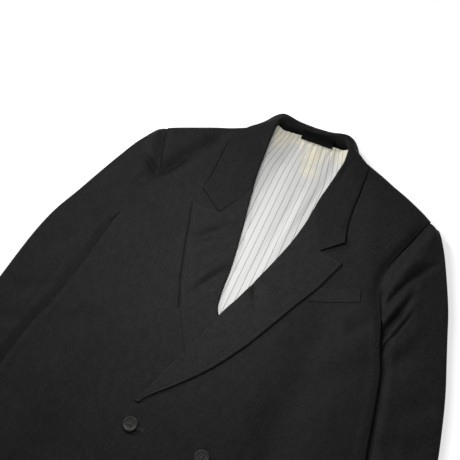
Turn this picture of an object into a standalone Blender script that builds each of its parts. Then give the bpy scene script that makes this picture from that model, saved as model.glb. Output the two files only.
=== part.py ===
"""A double-breasted blazer laid flat on its back, sleeves tucked a little way under the body.

Every panel is a wall of cloth: a grid of points on the panel's middle surface, thickened evenly.
Lengths in the tables are centimetres. +X is the wearer's left, +Y runs from the hem to the collar.
"""

import math

import bmesh
import bpy

for old in list(bpy.data.objects):
    bpy.data.objects.remove(old)

# Sizes of the garment, in centimetres
CM = 0.01
BODY_CLOTH = 0.2
LINING_CLOTH = 0.1
SEAM_GAP = 0.03
FOLD_GAP = 0.1
HEM_Y = -76.5
UNDERARM_Y = -28.25
BREAK_Y = -51.5
FLOOR_LEVEL = BODY_CLOTH / 2
BACK_LIFT = 0.65
BACK_LIFT_START = 13.7
BACK_LIFT_WIDTH = 4.5
FRONT_LEVEL = 0.55
FRONT_LIFT = 0.7
FRONT_LIFT_START = 12.0
FRONT_LIFT_WIDTH = 7.0
OVERLAP_LIFT = 0.52
OVERLAP_END = 14.0
OVERLAP_FADE = 6.5
LAPEL_STEP = 0.25
ROLL_INSET = 0.35
FOLD_RADIUS = 0.25
SLEEVE_FOLD_WIDTH = 0.45
SLEEVE_TUCK_LEVEL = 0.5
SIDE_PANEL_WIDTH = 4.5
SHOULDER_EDGE_LEVEL = 1.4
SHOULDER_ROUND = 1.2
SHOULDER_SLANT = 0.87
NECK_HALF_WIDTH = 7.5
LINING_LEVEL = 0.32
BUTTON_RADIUS = 1.0
BUTTON_ROWS = (-54.5, -65.5)
BUTTON_SPREAD = 5.2

CHARCOAL = (0.021, 0.021, 0.021, 1.0)
LAPEL_CHARCOAL = (0.025, 0.026, 0.026, 1.0)
IVORY = (0.70, 0.70, 0.67, 1.0)
LABEL_BLACK = (0.01, 0.01, 0.01, 1.0)
BUTTON_BLACK = (0.015, 0.015, 0.016, 1.0)

# Outline of the shoulders seen from above
# out from centre, y on the wearer's right, y on the wearer's left
SHOULDER_LINE = (
    (0.0, 1.15, 1.15),
    (4.0, 1.15, 1.15),
    (6.3, 0.4, 0.4),
    (8.5, -1.6, -1.2),
    (10.8, -3.1, -2.5),
    (13.2, -4.3, -3.7),
    (15.5, -5.2, -4.9),
    (18.0, -6.3, -6.1),
    (21.0, -7.7, -7.8),
    (22.6, -8.5, -8.9),
    (24.3, -9.3, -10.0),
    (35.0, -15.0, -16.0),
)

# Armhole above the underarm, side fold of the body below it
# y, out from centre on the wearer's right, on the wearer's left
BODY_EDGE = (
    (-76.5, 26.6, 26.6),
    (-66.0, 26.2, 26.2),
    (-55.0, 25.6, 25.4),
    (-48.0, 25.0, 24.7),
    (-44.0, 24.1, 24.1),
    (-38.0, 23.4, 23.3),
    (-34.5, 23.0, 22.7),
    (-31.0, 22.8, 21.6),
    (-27.5, 22.5, 20.6),
    (-24.0, 21.6, 19.3),
    (-21.7, 21.1, 18.8),
    (-19.0, 20.5, 18.9),
    (-16.0, 20.7, 19.9),
    (-13.0, 21.6, 21.1),
    (-10.5, 22.4, 21.7),
    (-8.5, 22.9, 22.3),
)

# Outer fold of the sleeves
# y, out from centre on the wearer's right, on the wearer's left
SLEEVE_EDGE = (
    (-69.0, 34.2, 34.2),
    (-55.0, 34.0, 33.8),
    (-43.4, 33.5, 33.1),
    (-37.0, 33.2, 32.3),
    (-33.0, 32.8, 31.6),
    (-29.5, 32.1, 30.8),
    (-25.6, 30.8, 29.9),
    (-21.7, 29.6, 29.0),
    (-17.5, 28.2, 27.7),
    (-13.3, 26.6, 26.2),
    (-9.3, 24.3, 24.5),
)

# Sleeve: y, how far it goes in under the body, level of its crown, level of its outer fold
SLEEVE_FORM = (
    (-69.0, 5.6, 1.1, 0.75),
    (-60.0, 6.0, 1.1, 0.75),
    (-50.0, 5.9, 1.12, 0.8),
    (-40.0, 4.9, 1.15, 0.9),
    (-35.0, 3.5, 1.25, 0.95),
    (-31.0, 1.3, 1.35, 1.0),
    (-28.3, 0.4, 1.45, 1.05),
    (-20.0, 0.4, 1.8, 1.2),
    (-15.0, 0.4, 2.2, 1.4),
    (-11.0, 0.4, 2.6, 1.7),
    (-8.0, 0.4, 2.75, 1.9),
)

# Front edges: roll line down to the break, then the straight edge of the overlap
# y, x of the wearer's right front, x of the wearer's left front
FRONT_EDGE = (
    (-76.5, 7.0, -7.0),
    (-57.0, 7.0, -7.0),
    (-53.0, 6.6, -6.6),
    (-49.0, 5.0, -5.3),
    (-45.0, 3.3, -3.95),
    (-41.0, 1.6, -2.6),
    (-36.3, -0.7, -1.1),
    (-34.5, -1.8, -0.5),
    (-32.0, -2.3, 0.5),
    (-28.0, -2.65, 1.8),
    (-24.0, -3.25, 3.05),
    (-20.0, -3.95, 4.2),
    (-16.0, -4.7, 5.0),
    (-12.0, -5.4, 5.4),
    (-8.0, -5.75, 6.1),
    (-4.0, -6.0, 6.8),
    (0.4, -6.1, 6.5),
)

# Rows of a front panel: y at its front edge, y at its side, share of the shoulder's bow
FRONT_ROWS = (
    (-76.5, -76.5, 0.0),
    (-71.5, -71.5, 0.0),
    (-66.5, -66.5, 0.0),
    (-61.5, -61.5, 0.0),
    (-57.0, -57.0, 0.0),
    (-53.0, -53.0, 0.0),
    (-49.0, -49.0, 0.0),
    (-45.0, -45.0, 0.0),
    (-41.0, -41.0, 0.0),
    (-38.0, -38.5, 0.0),
    (-35.5, -36.3, 0.0),
    (-33.0, -34.2, 0.0),
    (-30.0, -32.0, 0.0),
    (-27.0, -30.0, 0.0),
    (-24.5, -28.35, 0.0),
    (-24.0, -28.0, 0.0),
    (-20.5, -25.2, 0.05),
    (-17.0, -22.4, 0.1),
    (-13.5, -19.6, 0.2),
    (-10.0, -16.9, 0.3),
    (-7.0, -14.6, 0.45),
    (-4.6, -12.7, 0.6),
    (-2.4, -11.1, 0.8),
    (-0.9, -9.95, 0.93),
    (-0.2, -9.3, 1.0),
    (0.25, -8.85, 1.0),
    (0.4, -8.7, 1.0),
)

# Rise of the front over the chest and the shoulder: distance below the shoulder line, rise
CHEST_RISE = (
    (-2.0, 2.1),
    (0.0, 2.1),
    (3.0, 2.0),
    (6.0, 1.65),
    (10.0, 1.1),
    (15.0, 0.55),
    (20.0, 0.2),
    (26.0, 0.0),
    (90.0, 0.0),
)

# Rows of a back panel: y at the centre seam, y at its side
BACK_ROWS = (
    (-76.5, -76.5),
    (-71.5, -71.5),
    (-66.5, -66.5),
    (-61.5, -61.5),
    (-57.0, -57.0),
    (-53.0, -53.0),
    (-49.0, -49.0),
    (-45.0, -45.0),
    (-41.0, -41.0),
    (-38.5, -38.5),
    (-36.3, -36.3),
    (-34.2, -34.2),
    (-32.0, -32.0),
    (-30.0, -30.0),
    (-29.0, -28.35),
    (-27.6, -28.2),
    (-25.0, -25.2),
    (-21.0, -22.4),
    (-16.5, -19.6),
    (-12.0, -16.9),
    (-8.5, -14.6),
    (-5.2, -12.7),
    (-2.4, -11.1),
    (-0.6, -9.95),
    (0.4, -9.3),
    (1.0, -8.85),
    (1.15, -8.7),
)

# Rows of a sleeve: y at its inner side, y at its outer fold
SLEEVE_ROWS = (
    (-69.0, -69.0),
    (-64.0, -64.0),
    (-58.0, -58.0),
    (-52.0, -52.0),
    (-46.0, -46.0),
    (-41.0, -41.0),
    (-37.0, -37.0),
    (-34.0, -34.5),
    (-31.0, -32.0),
    (-28.6, -29.8),
    (-27.6, -28.8),
    (-26.4, -27.6),
    (-25.0, -26.2),
    (-22.4, -23.6),
    (-19.6, -20.6),
    (-16.9, -17.8),
    (-14.6, -15.4),
    (-12.7, -13.4),
    (-11.1, -11.8),
    (-9.95, -10.7),
    (-9.3, -10.05),
    (-8.85, -9.5),
    (-8.7, -9.3),
)

# Lapels: y on the roll line, x and y half way out, x and y on the outer edge
LAPEL_RIGHT = (
    (-51.5, 5.4, -50.9, 4.7, -50.3),
    (-48.0, 2.9, -47.5, 1.0, -47.0),
    (-44.0, 0.6, -43.9, -2.0, -44.0),
    (-40.0, -1.9, -40.2, -4.8, -39.8),
    (-36.0, -3.9, -36.5, -6.9, -36.4),
    (-32.0, -5.4, -32.7, -8.6, -32.6),
    (-28.0, -6.2, -29.2, -9.75, -29.2),
    (-23.0, -7.2, -25.2, -11.0, -25.5),
    (-18.5, -7.8, -22.0, -11.9, -22.4),
    (-14.05, -8.25, -19.85, -12.6, -20.1),
)
LAPEL_LEFT = (
    (-51.5, -5.5, -50.8, -4.9, -50.1),
    (-47.5, -3.2, -47.0, -1.6, -46.8),
    (-43.0, -0.8, -43.0, 1.5, -43.0),
    (-38.0, 1.3, -38.4, 4.4, -38.3),
    (-33.0, 3.5, -33.6, 6.9, -33.2),
    (-28.0, 5.5, -29.0, 8.8, -29.1),
    (-23.0, 6.9, -25.4, 10.4, -25.9),
    (-18.0, 8.1, -22.2, 11.7, -22.6),
    (-13.45, 8.75, -19.95, 12.5, -20.6),
)

# Collar from the gorge to the centre back
# x, y, z of the fold, x, y half way out, x, y, z of the outer edge, roundness of the drop
COLLAR_RIGHT = (
    (-5.05, -13.9, 0.0, -8.2, -19.65, -12.3, -17.1, 0.0, 0.0),
    (-5.45, -11.6, 0.0, -8.5, -16.2, -12.0, -14.9, 0.0, 0.0),
    (-5.68, -9.0, 0.0, -8.7, -11.9, -11.9, -11.6, 0.0, 0.0),
    (-5.87, -6.2, 2.5, -8.9, -8.1, -11.9, -8.4, 0.0, 0.0),
    (-6.0, -3.6, 3.0, -8.9, -4.6, -11.6, -5.6, 2.6, 0.0),
    (-6.07, -1.3, 3.4, -8.6, -2.4, -10.5, -3.6, 2.6, 0.1),
)
COLLAR_LEFT = (
    (5.3, -13.3, 0.0, 8.7, -19.75, 11.7, -17.3, 0.0, 0.0),
    (5.47, -11.5, 0.0, 8.5, -16.2, 11.2, -15.1, 0.0, 0.0),
    (5.93, -9.0, 0.0, 8.5, -12.0, 10.9, -12.0, 0.0, 0.0),
    (6.4, -6.4, 2.5, 8.7, -8.3, 10.9, -8.8, 0.0, 0.0),
    (6.8, -3.7, 3.0, 8.9, -4.6, 10.8, -5.7, 2.6, 0.0),
    (6.65, -1.3, 3.4, 8.8, -2.1, 10.6, -3.1, 2.65, 0.1),
)
COLLAR_BACK = (
    (5.6, 0.2, 3.75, 7.1, -0.5, 8.8, -1.2, 1.9, 0.6),
    (4.4, 0.45, 3.55, 5.7, 1.2, 7.0, 1.75, 0.7, 1.0),
    (2.4, 0.3, 3.15, 3.0, 1.2, 3.6, 2.0, 0.25, 1.0),
    (0.0, 0.25, 3.0, 0.0, 1.2, 0.0, 2.05, 0.2, 1.0),
)

# Lining in the neck opening: y, half width, height of its folds
LINING_ROWS = (
    (-44.0, 3.5, 0.0),
    (-38.0, 4.0, 0.0),
    (-32.0, 5.0, 0.02),
    (-26.0, 5.8, 0.06),
    (-20.0, 6.6, 0.12),
    (-14.0, 7.2, 0.2),
    (-8.0, 7.4, 0.25),
    (-3.0, 7.0, 0.18),
    (0.45, 6.4, 0.08),
)
LINING_FOLDS = 5

# Corners of the breast pocket's welt: x, y
WELT_LOW_INNER = (9.75, -28.3)
WELT_LOW_OUTER = (16.9, -25.6)
WELT_TOP_INNER = (10.85, -25.6)
WELT_TOP_OUTER = (16.4, -23.5)


def ease(t):
    """A smooth step from 0 to 1."""
    t = min(max(t, 0.0), 1.0)
    return t * t * (3 - 2 * t)


def blend(a, b, t):
    return a + (b - a) * t


def read(table, key, column):
    """A smooth curve through one column of a table whose first column rises."""
    rows = len(table)
    low = 0
    while low < rows - 2 and key > table[low + 1][0]:
        low += 1
    start, end = table[low], table[low + 1]
    before, after = table[max(low - 1, 0)], table[min(low + 2, rows - 1)]
    width = end[0] - start[0]
    t = min(max((key - start[0]) / width, 0.0), 1.0)
    leave = (end[column] - before[column]) / (end[0] - before[0]) * width
    arrive = (after[column] - start[column]) / (after[0] - start[0]) * width
    rise = end[column] - start[column]
    if rise * leave <= 0:
        leave = 0.0
    if rise * arrive <= 0:
        arrive = 0.0
    bend = (2 * t - 3) * t * t + 1
    return (
        bend * start[column]
        + ((t - 2) * t + 1) * t * leave
        + (1 - bend) * end[column]
        + (t - 1) * t * t * arrive
    )


def row_at(table, place):
    """A row between the rows of a table, by its place from 0 at the first to 1 at the last."""
    numbered = [(index,) + tuple(row) for index, row in enumerate(table)]
    key = place * (len(table) - 1)
    return [read(numbered, key, column + 1) for column in range(len(table[0]))]


def side_column(side):
    """The column of a table that holds the given side: -1 is the wearer's right."""
    return 1 if side < 0 else 2


def shoulder_y(x, side):
    return read(SHOULDER_LINE, abs(x), side_column(side))


def body_edge(y, side):
    return read(BODY_EDGE, y, side_column(side))


def sleeve_edge(y, side):
    return read(SLEEVE_EDGE, y, side_column(side))


def front_edge(y, side):
    return read(FRONT_EDGE, y, side_column(side))


def tuck(y):
    """How fully the sleeve lies under the body, along its length."""
    return ease((-21.0 - y) / 6.5) * ease((y - HEM_Y) / 5.0)


def below_shoulder(x, y, side):
    """Distance from the shoulder line, square to its slant."""
    return (shoulder_y(x, side) - y) * SHOULDER_SLANT


def rounding(depth):
    """Height of a quarter circle that starts at the shoulder's edge."""
    if depth >= SHOULDER_ROUND:
        return 1.0
    share = 1 - max(depth, 0.0) / SHOULDER_ROUND
    return math.sqrt(max(1 - share * share, 0.0))


def back_level(x, y, side):
    """Middle of the back's cloth: on the floor, or lifted by the sleeve under its side."""
    level = FLOOR_LEVEL + BACK_LIFT * ease((abs(x) - BACK_LIFT_START) / BACK_LIFT_WIDTH) * tuck(y)
    past_neck = ease((abs(x) - NECK_HALF_WIDTH) / 1.5)
    share = blend(1.0, rounding(below_shoulder(x, y, side)), past_neck)
    return blend(SHOULDER_EDGE_LEVEL - SEAM_GAP, level, share)


def front_level(x, y, side):
    """Middle of a front's cloth. The wearer's left front lies over the right one."""
    depth = below_shoulder(x, y, side)
    lifted = ease((abs(x) - FRONT_LIFT_START) / FRONT_LIFT_WIDTH)
    level = FRONT_LEVEL + FRONT_LIFT * lifted * tuck(y)
    level += read(CHEST_RISE, depth, 1)
    if side > 0:
        over = ease((OVERLAP_END - x) / OVERLAP_FADE)
        level += OVERLAP_LIFT * over * ease((-22.0 - y) / 13.0)
    return blend(SHOULDER_EDGE_LEVEL + SEAM_GAP, level, rounding(depth))


def sleeve_seam_level(y, side):
    """Level of the sleeve where it meets the armhole or goes in under the body."""
    x = side * body_edge(y, side)
    return blend(SLEEVE_TUCK_LEVEL, front_level(x, y, side), ease((y + 28.0) / 6.5))


def sleeve_level(x, y, side):
    """Middle of the upper sleeve's cloth."""
    out = abs(x) - body_edge(y, side)
    width = sleeve_edge(y, side) - body_edge(y, side)
    crown = read(SLEEVE_FORM, y, 2)
    outer = read(SLEEVE_FORM, y, 3)
    level = blend(sleeve_seam_level(y, side), crown, ease((out - 1.2) / 2.6))
    fall = ease((out - 0.35 * width) / (0.65 * width))
    level = blend(level, outer, fall)
    share = rounding(below_shoulder(x, y, side))
    rise = max((level - SHOULDER_EDGE_LEVEL) * share, 0.12) if share < 1 else level - SHOULDER_EDGE_LEVEL
    return SHOULDER_EDGE_LEVEL + rise


def under_sleeve_level(x, y, side):
    share = rounding(below_shoulder(x, y, side))
    drop = max((SHOULDER_EDGE_LEVEL - FLOOR_LEVEL) * share, 0.12)
    return SHOULDER_EDGE_LEVEL - drop


def cloth_material(name, colour, roughness):
    material = bpy.data.materials.new(name)
    material.use_nodes = True
    shader = material.node_tree.nodes["Principled BSDF"]
    shader.inputs["Base Color"].default_value = colour
    shader.inputs["Roughness"].default_value = roughness
    shader.inputs["Metallic"].default_value = 0.0
    return material


def cloth_panel(name, columns, rows, place, thickness, colour, roughness=0.9):
    """A wall of cloth: place(column, row) gives the middle surface in centimetres."""
    mesh = bpy.data.meshes.new(name)
    grid = bmesh.new()
    bmesh.ops.create_grid(grid, x_segments=columns, y_segments=rows, size=0.5)
    for point in grid.verts:
        column = round((point.co.x + 0.5) * columns)
        row = round((point.co.y + 0.5) * rows)
        point.co = [CM * value for value in place(column, row)]
    grid.to_mesh(mesh)
    grid.free()
    panel = bpy.data.objects.new(name, mesh)
    bpy.context.scene.collection.objects.link(panel)
    panel.data.materials.append(cloth_material(name, colour, roughness))
    wall = panel.modifiers.new("wall", "SOLIDIFY")
    wall.thickness = CM * thickness
    wall.offset = 0.0
    wall.use_even_offset = True
    wall.thickness_clamp = 1.0
    wall.use_thickness_angle_clamp = True
    mesh.shade_smooth()
    return panel


FRONT_COLUMNS = 12
BACK_COLUMNS = 9


def front_panel(name, side):
    """A front: from the front edge or roll line to the armhole or the top of the side fold."""

    def place(column, row):
        edge_y, side_y, bow_share = FRONT_ROWS[row]
        across = column / FRONT_COLUMNS
        inner = front_edge(edge_y, side)
        if edge_y > BREAK_Y:
            inner += side * ROLL_INSET
        inset = SEAM_GAP if side_y > UNDERARM_Y else FOLD_RADIUS + 2 * SEAM_GAP
        outer = side * (body_edge(side_y, side) - inset)
        x = blend(inner, outer, across)
        top_row = blend(FRONT_ROWS[-1][0], FRONT_ROWS[-1][1], across)
        y = blend(edge_y, side_y, across) + (shoulder_y(x, side) - top_row) * bow_share
        return x, y, front_level(x, y, side)

    return cloth_panel(name, FRONT_COLUMNS, len(FRONT_ROWS) - 1, place, BODY_CLOTH, CHARCOAL)


def back_panel(name, side):
    """Half of the back: from the centre seam to the armhole or the side panel."""

    def place(column, row):
        centre_y, side_y = BACK_ROWS[row]
        inset = SEAM_GAP if side_y > UNDERARM_Y else SIDE_PANEL_WIDTH
        outer = body_edge(side_y, side) - inset
        across = column / BACK_COLUMNS
        x = blend(SEAM_GAP / 2, outer, across)
        top = shoulder_y(x, side)
        share = ease((centre_y + 16.0) / 16.0)
        y = blend(centre_y, side_y, across)
        top_row = blend(1.15, -8.7, across)
        y += (top - top_row) * share
        return side * x, y, back_level(x, y, side)

    return cloth_panel(name, BACK_COLUMNS, len(BACK_ROWS) - 1, place, BODY_CLOTH, CHARCOAL)


SIDE_FOLD_COLUMNS = 6
SIDE_FLAT_COLUMNS = 4
SIDE_TOP = -28.42
SIDE_ROWS = tuple(min(row[1], SIDE_TOP) for row in FRONT_ROWS if row[1] < UNDERARM_Y)


def side_panel(name, side):
    """The strip round the side fold, from the front's seam to the back's seam below."""

    def place(column, row):
        y = SIDE_ROWS[row]
        edge = body_edge(y, side)
        start = edge - FOLD_RADIUS
        top = front_level(side * start, y, side)
        bottom = back_level(start, y, side)
        middle, radius = (top + bottom) / 2, (top - bottom) / 2
        if column <= SIDE_FOLD_COLUMNS:
            turn = math.pi * column / SIDE_FOLD_COLUMNS
            x = start + FOLD_RADIUS * math.sin(turn)
            return side * x, y, middle + radius * math.cos(turn)
        share = (column - SIDE_FOLD_COLUMNS) / SIDE_FLAT_COLUMNS
        x = blend(start, edge - SIDE_PANEL_WIDTH + SEAM_GAP, share)
        return side * x, y, back_level(x, y, side)

    columns = SIDE_FOLD_COLUMNS + SIDE_FLAT_COLUMNS
    return cloth_panel(name, columns, len(SIDE_ROWS) - 1, place, BODY_CLOTH, CHARCOAL)


SLEEVE_COLUMNS = 8
SLEEVE_FOLD_COLUMNS = 5
TUCK_RADIUS = (SLEEVE_TUCK_LEVEL - FLOOR_LEVEL) / 2


def tucked_turn(y):
    """Share of the inner fold's half turn: none at the armhole, whole below the underarm."""
    return min(max((-24.5 - y) / 4.0, 0.0), 1.0)


def sleeve_ends(row, side):
    """Inner and outer ends of a sleeve's row, each as out from centre and y."""
    inner_y, outer_y = SLEEVE_ROWS[row]
    inner = body_edge(inner_y, side) + 2 * SEAM_GAP
    if inner_y < UNDERARM_Y:
        inner = body_edge(inner_y, side) - read(SLEEVE_FORM, inner_y, 1)
    outer = sleeve_edge(outer_y, side)
    return inner, inner_y, outer, outer_y


def outer_fold(row, side):
    """Centre and radii of the sleeve's outer fold."""
    inner, inner_y, outer, outer_y = sleeve_ends(row, side)
    start = outer - SLEEVE_FOLD_WIDTH
    top = sleeve_level(start, outer_y, side)
    bottom = under_sleeve_level(start, outer_y, side)
    return start, outer_y, (top + bottom) / 2, (top - bottom) / 2, outer - start


def upper_sleeve(name, side):
    """The top sleeve: from the armhole over the arm and round the outer fold."""

    def place(column, row):
        inner, inner_y, outer, outer_y = sleeve_ends(row, side)
        start, fold_y, middle, radius, reach = outer_fold(row, side)
        if column >= SLEEVE_COLUMNS:
            turn = math.pi * (column - SLEEVE_COLUMNS) / SLEEVE_FOLD_COLUMNS
            x = start + reach * math.sin(turn)
            return side * x, fold_y, middle + radius * math.cos(turn)
        inner += (TUCK_RADIUS + FOLD_GAP) * min(max((tucked_turn(inner_y) - 0.3) / 0.45, 0.0), 1.0)
        share = column / SLEEVE_COLUMNS
        x = blend(inner, start, share)
        y = blend(inner_y, outer_y, share)
        return side * x, y, sleeve_level(x, y, side)

    columns = SLEEVE_COLUMNS + SLEEVE_FOLD_COLUMNS
    return cloth_panel(name, columns, len(SLEEVE_ROWS) - 1, place, BODY_CLOTH, CHARCOAL)


def under_sleeve(name, side):
    """The under sleeve: flat on the floor, turned up round the fold that lies under the body."""

    def place(column, row):
        inner, inner_y, outer, outer_y = sleeve_ends(row, side)
        start = outer_fold(row, side)[0] - FOLD_GAP
        if column <= SLEEVE_COLUMNS:
            x = blend(start, inner + TUCK_RADIUS, column / SLEEVE_COLUMNS)
            lift = 0.0
        else:
            share = (column - SLEEVE_COLUMNS) / SLEEVE_FOLD_COLUMNS
            turn = math.pi * share * tucked_turn(inner_y)
            x = inner + TUCK_RADIUS * (1 - math.sin(turn))
            x = blend(x, blend(inner + TUCK_RADIUS, inner, share), 1 - tucked_turn(inner_y))
            lift = TUCK_RADIUS * (1 - math.cos(turn))
        y = blend(outer_y, inner_y, (start - x) / (start - inner))
        return side * x, y, under_sleeve_level(x, y, side) + lift

    columns = SLEEVE_COLUMNS + SLEEVE_FOLD_COLUMNS
    return cloth_panel(name, columns, len(SLEEVE_ROWS) - 1, place, BODY_CLOTH, CHARCOAL)


LAPEL_NOSE_COLUMNS = 4
LAPEL_NOSE = 0.2
LAPEL_NOSE_TURN = 0.72 * math.pi
LAPEL_COLUMNS = 6
LAPEL_ROWS = 14


def lapel(name, side, table):
    """A lapel: the folded-out top of a front, hooked round the front's edge at the roll line."""

    def place(column, row):
        roll_y, half_x, half_y, out_x, out_y = row_at(table, row / LAPEL_ROWS)
        roll_x = front_edge(roll_y, side)
        start_x = roll_x + side * LAPEL_NOSE
        if column <= LAPEL_NOSE_COLUMNS:
            turn = LAPEL_NOSE_TURN * (1 - column / LAPEL_NOSE_COLUMNS)
            x = start_x - side * LAPEL_NOSE * math.sin(turn)
            top = front_level(start_x, roll_y, side) + LAPEL_STEP
            return x, roll_y, top - LAPEL_NOSE * (1 - math.cos(turn))
        share = (column - LAPEL_NOSE_COLUMNS) / LAPEL_COLUMNS
        if share <= 0.5:
            x = blend(start_x, half_x, 2 * share)
            y = blend(roll_y, half_y, 2 * share)
        else:
            x = blend(half_x, out_x, 2 * share - 1)
            y = blend(half_y, out_y, 2 * share - 1)
        return x, y, front_level(x, y, side) + LAPEL_STEP

    columns = LAPEL_NOSE_COLUMNS + LAPEL_COLUMNS
    return cloth_panel(name, columns, LAPEL_ROWS, place, BODY_CLOTH, LAPEL_CHARCOAL)


COLLAR_HALF_ROWS = 15
COLLAR_NOSE_COLUMNS = 4
COLLAR_COLUMNS = 6
COLLAR_NOSE = 0.22
COLLAR_NOSE_TURN = 0.6 * math.pi


def collar_row(row):
    """One section of the collar: side, fold, half way point, outer edge and roundness."""
    side = -1 if row < COLLAR_HALF_ROWS else 1
    front_rows = COLLAR_RIGHT if side < 0 else COLLAR_LEFT
    back_rows = [
        (side * r[0], r[1], r[2], side * r[3], r[4], side * r[5], r[6], r[7], r[8])
        for r in COLLAR_BACK
    ]
    from_gorge = row if side < 0 else 2 * COLLAR_HALF_ROWS - row
    values = row_at(list(front_rows) + back_rows, from_gorge / COLLAR_HALF_ROWS)
    return side, values


def on_front(x, y, side, z):
    """Lift a level to lie on the front where there is one below."""
    rest = max(front_level(x, y, side), front_level(x, y - 0.35, side)) + LAPEL_STEP
    return max(z, rest) if below_shoulder(x, y, side) > -0.8 and abs(x) > 4.5 else z


def collar_fold(row):
    """The section's values, the fold's top point and its direction away from the neck."""
    side, values = collar_row(row)
    before = collar_row(max(row - 1, 0))[1]
    after = collar_row(min(row + 1, 2 * COLLAR_HALF_ROWS))[1]
    along_x, along_y = after[0] - before[0], after[1] - before[1]
    length = math.hypot(along_x, along_y)
    out_x, out_y = -along_y / length, along_x / length
    top_x, top_y = values[0] + COLLAR_NOSE * out_x, values[1] + COLLAR_NOSE * out_y
    top_z = on_front(top_x, top_y, side, values[2])
    return side, values, (top_x, top_y, top_z), (out_x, out_y)


def collar_place(column, row):
    side, values, top, out = collar_fold(row)
    fold_x, fold_y, fold_z, half_x, half_y, edge_x, edge_y, edge_z, drop = values
    if column <= COLLAR_NOSE_COLUMNS:
        turn = COLLAR_NOSE_TURN * (1 - column / COLLAR_NOSE_COLUMNS)
        back = COLLAR_NOSE * math.sin(turn)
        z = top[2] - COLLAR_NOSE * (1 - math.cos(turn))
        return top[0] - out[0] * back, top[1] - out[1] * back, z
    share = (column - COLLAR_NOSE_COLUMNS) / COLLAR_COLUMNS
    share = blend(share, math.sin(share * math.pi / 2), drop)
    if share <= 0.5:
        x = blend(top[0], half_x, 2 * share)
        y = blend(top[1], half_y, 2 * share)
    else:
        x = blend(half_x, edge_x, 2 * share - 1)
        y = blend(half_y, edge_y, 2 * share - 1)
    fall = blend(1 - share, math.sqrt(max(1 - share * share, 0.0)), drop)
    z = edge_z + (top[2] - edge_z) * fall
    return x, y, on_front(x, y, side, z)


def collar():
    """The collar's fall with the fold at its top, from one gorge round the neck to the other."""
    columns = COLLAR_NOSE_COLUMNS + COLLAR_COLUMNS
    rows = 2 * COLLAR_HALF_ROWS
    return cloth_panel("collar", columns, rows, collar_place, BODY_CLOTH, LAPEL_CHARCOAL)


STAND_HALF_ROWS = 7
STAND_COLUMNS = 3
STAND_BASE_LEVEL = 0.36
NECK_SEAM_Y = 0.75


def collar_stand():
    """The stand inside the back of the neck, from the neck seam up to the fold."""

    def place(column, row):
        collar_station = COLLAR_HALF_ROWS + (row - STAND_HALF_ROWS)
        x, y, z = collar_place(0, collar_station)
        share = column / STAND_COLUMNS
        return x, blend(NECK_SEAM_Y, y + 0.02, share), blend(STAND_BASE_LEVEL, z - 0.06, share)

    rows = 2 * STAND_HALF_ROWS
    return cloth_panel("collar_stand", STAND_COLUMNS, rows, place, BODY_CLOTH, CHARCOAL)


LINING_COLUMNS = 20
LINING_STEPS = 9


def back_lining():
    """The striped lining of the back, where the neck opening shows it."""

    def place(column, row):
        y, half_width, fold = row_at(LINING_ROWS, row / LINING_STEPS)
        across = 2 * column / LINING_COLUMNS - 1
        wave = 0.5 - 0.5 * math.cos(across * LINING_FOLDS * math.pi)
        return across * half_width, y, LINING_LEVEL + fold * wave

    return cloth_panel("lining_back", LINING_COLUMNS, LINING_STEPS, place, LINING_CLOTH, IVORY, 0.6)


LABEL_COLUMNS = 4
LABEL_SIDES = (-1.7, 3.8)

# Label from its loose lower edge up the stand: y, level
LABEL_ROWS = (
    (-0.3, 0.62),
    (0.14, 0.9),
    (0.2, 1.9),
)


def neck_label():
    """A plain woven label sewn to the stand, its lower edge lying on the lining."""

    def place(column, row):
        y, level = LABEL_ROWS[row]
        return blend(LABEL_SIDES[0], LABEL_SIDES[1], column / LABEL_COLUMNS), y, level

    rows = len(LABEL_ROWS) - 1
    return cloth_panel("neck_label", LABEL_COLUMNS, rows, place, LINING_CLOTH, LABEL_BLACK, 0.7)


WELT_COLUMNS = 6
WELT_STEP = BODY_CLOTH / 2 + LINING_CLOTH / 2 + SEAM_GAP + 0.01


def chest_welt():
    """The welt of the breast pocket, on the wearer's left front."""

    def place(column, row):
        across, up = column / WELT_COLUMNS, row / 2
        low_x = blend(WELT_LOW_INNER[0], WELT_LOW_OUTER[0], across)
        low_y = blend(WELT_LOW_INNER[1], WELT_LOW_OUTER[1], across)
        top_x = blend(WELT_TOP_INNER[0], WELT_TOP_OUTER[0], across)
        top_y = blend(WELT_TOP_INNER[1], WELT_TOP_OUTER[1], across)
        x, y = blend(low_x, top_x, up), blend(low_y, top_y, up)
        return x, y, front_level(x, y, 1) + WELT_STEP

    return cloth_panel("chest_welt", WELT_COLUMNS, 2, place, LINING_CLOTH, CHARCOAL)


# Turned profile of a button: radius, height
BUTTON_PROFILE = (
    (0.0, 0.0),
    (0.32, 0.0),
    (0.32, 0.12),
    (0.9, 0.14),
    (1.0, 0.24),
    (0.98, 0.36),
    (0.84, 0.42),
    (0.72, 0.36),
    (0.0, 0.34),
)
BUTTON_SIDES = 16
BUTTON_REST = BODY_CLOTH / 2 + SEAM_GAP + 0.02


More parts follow.
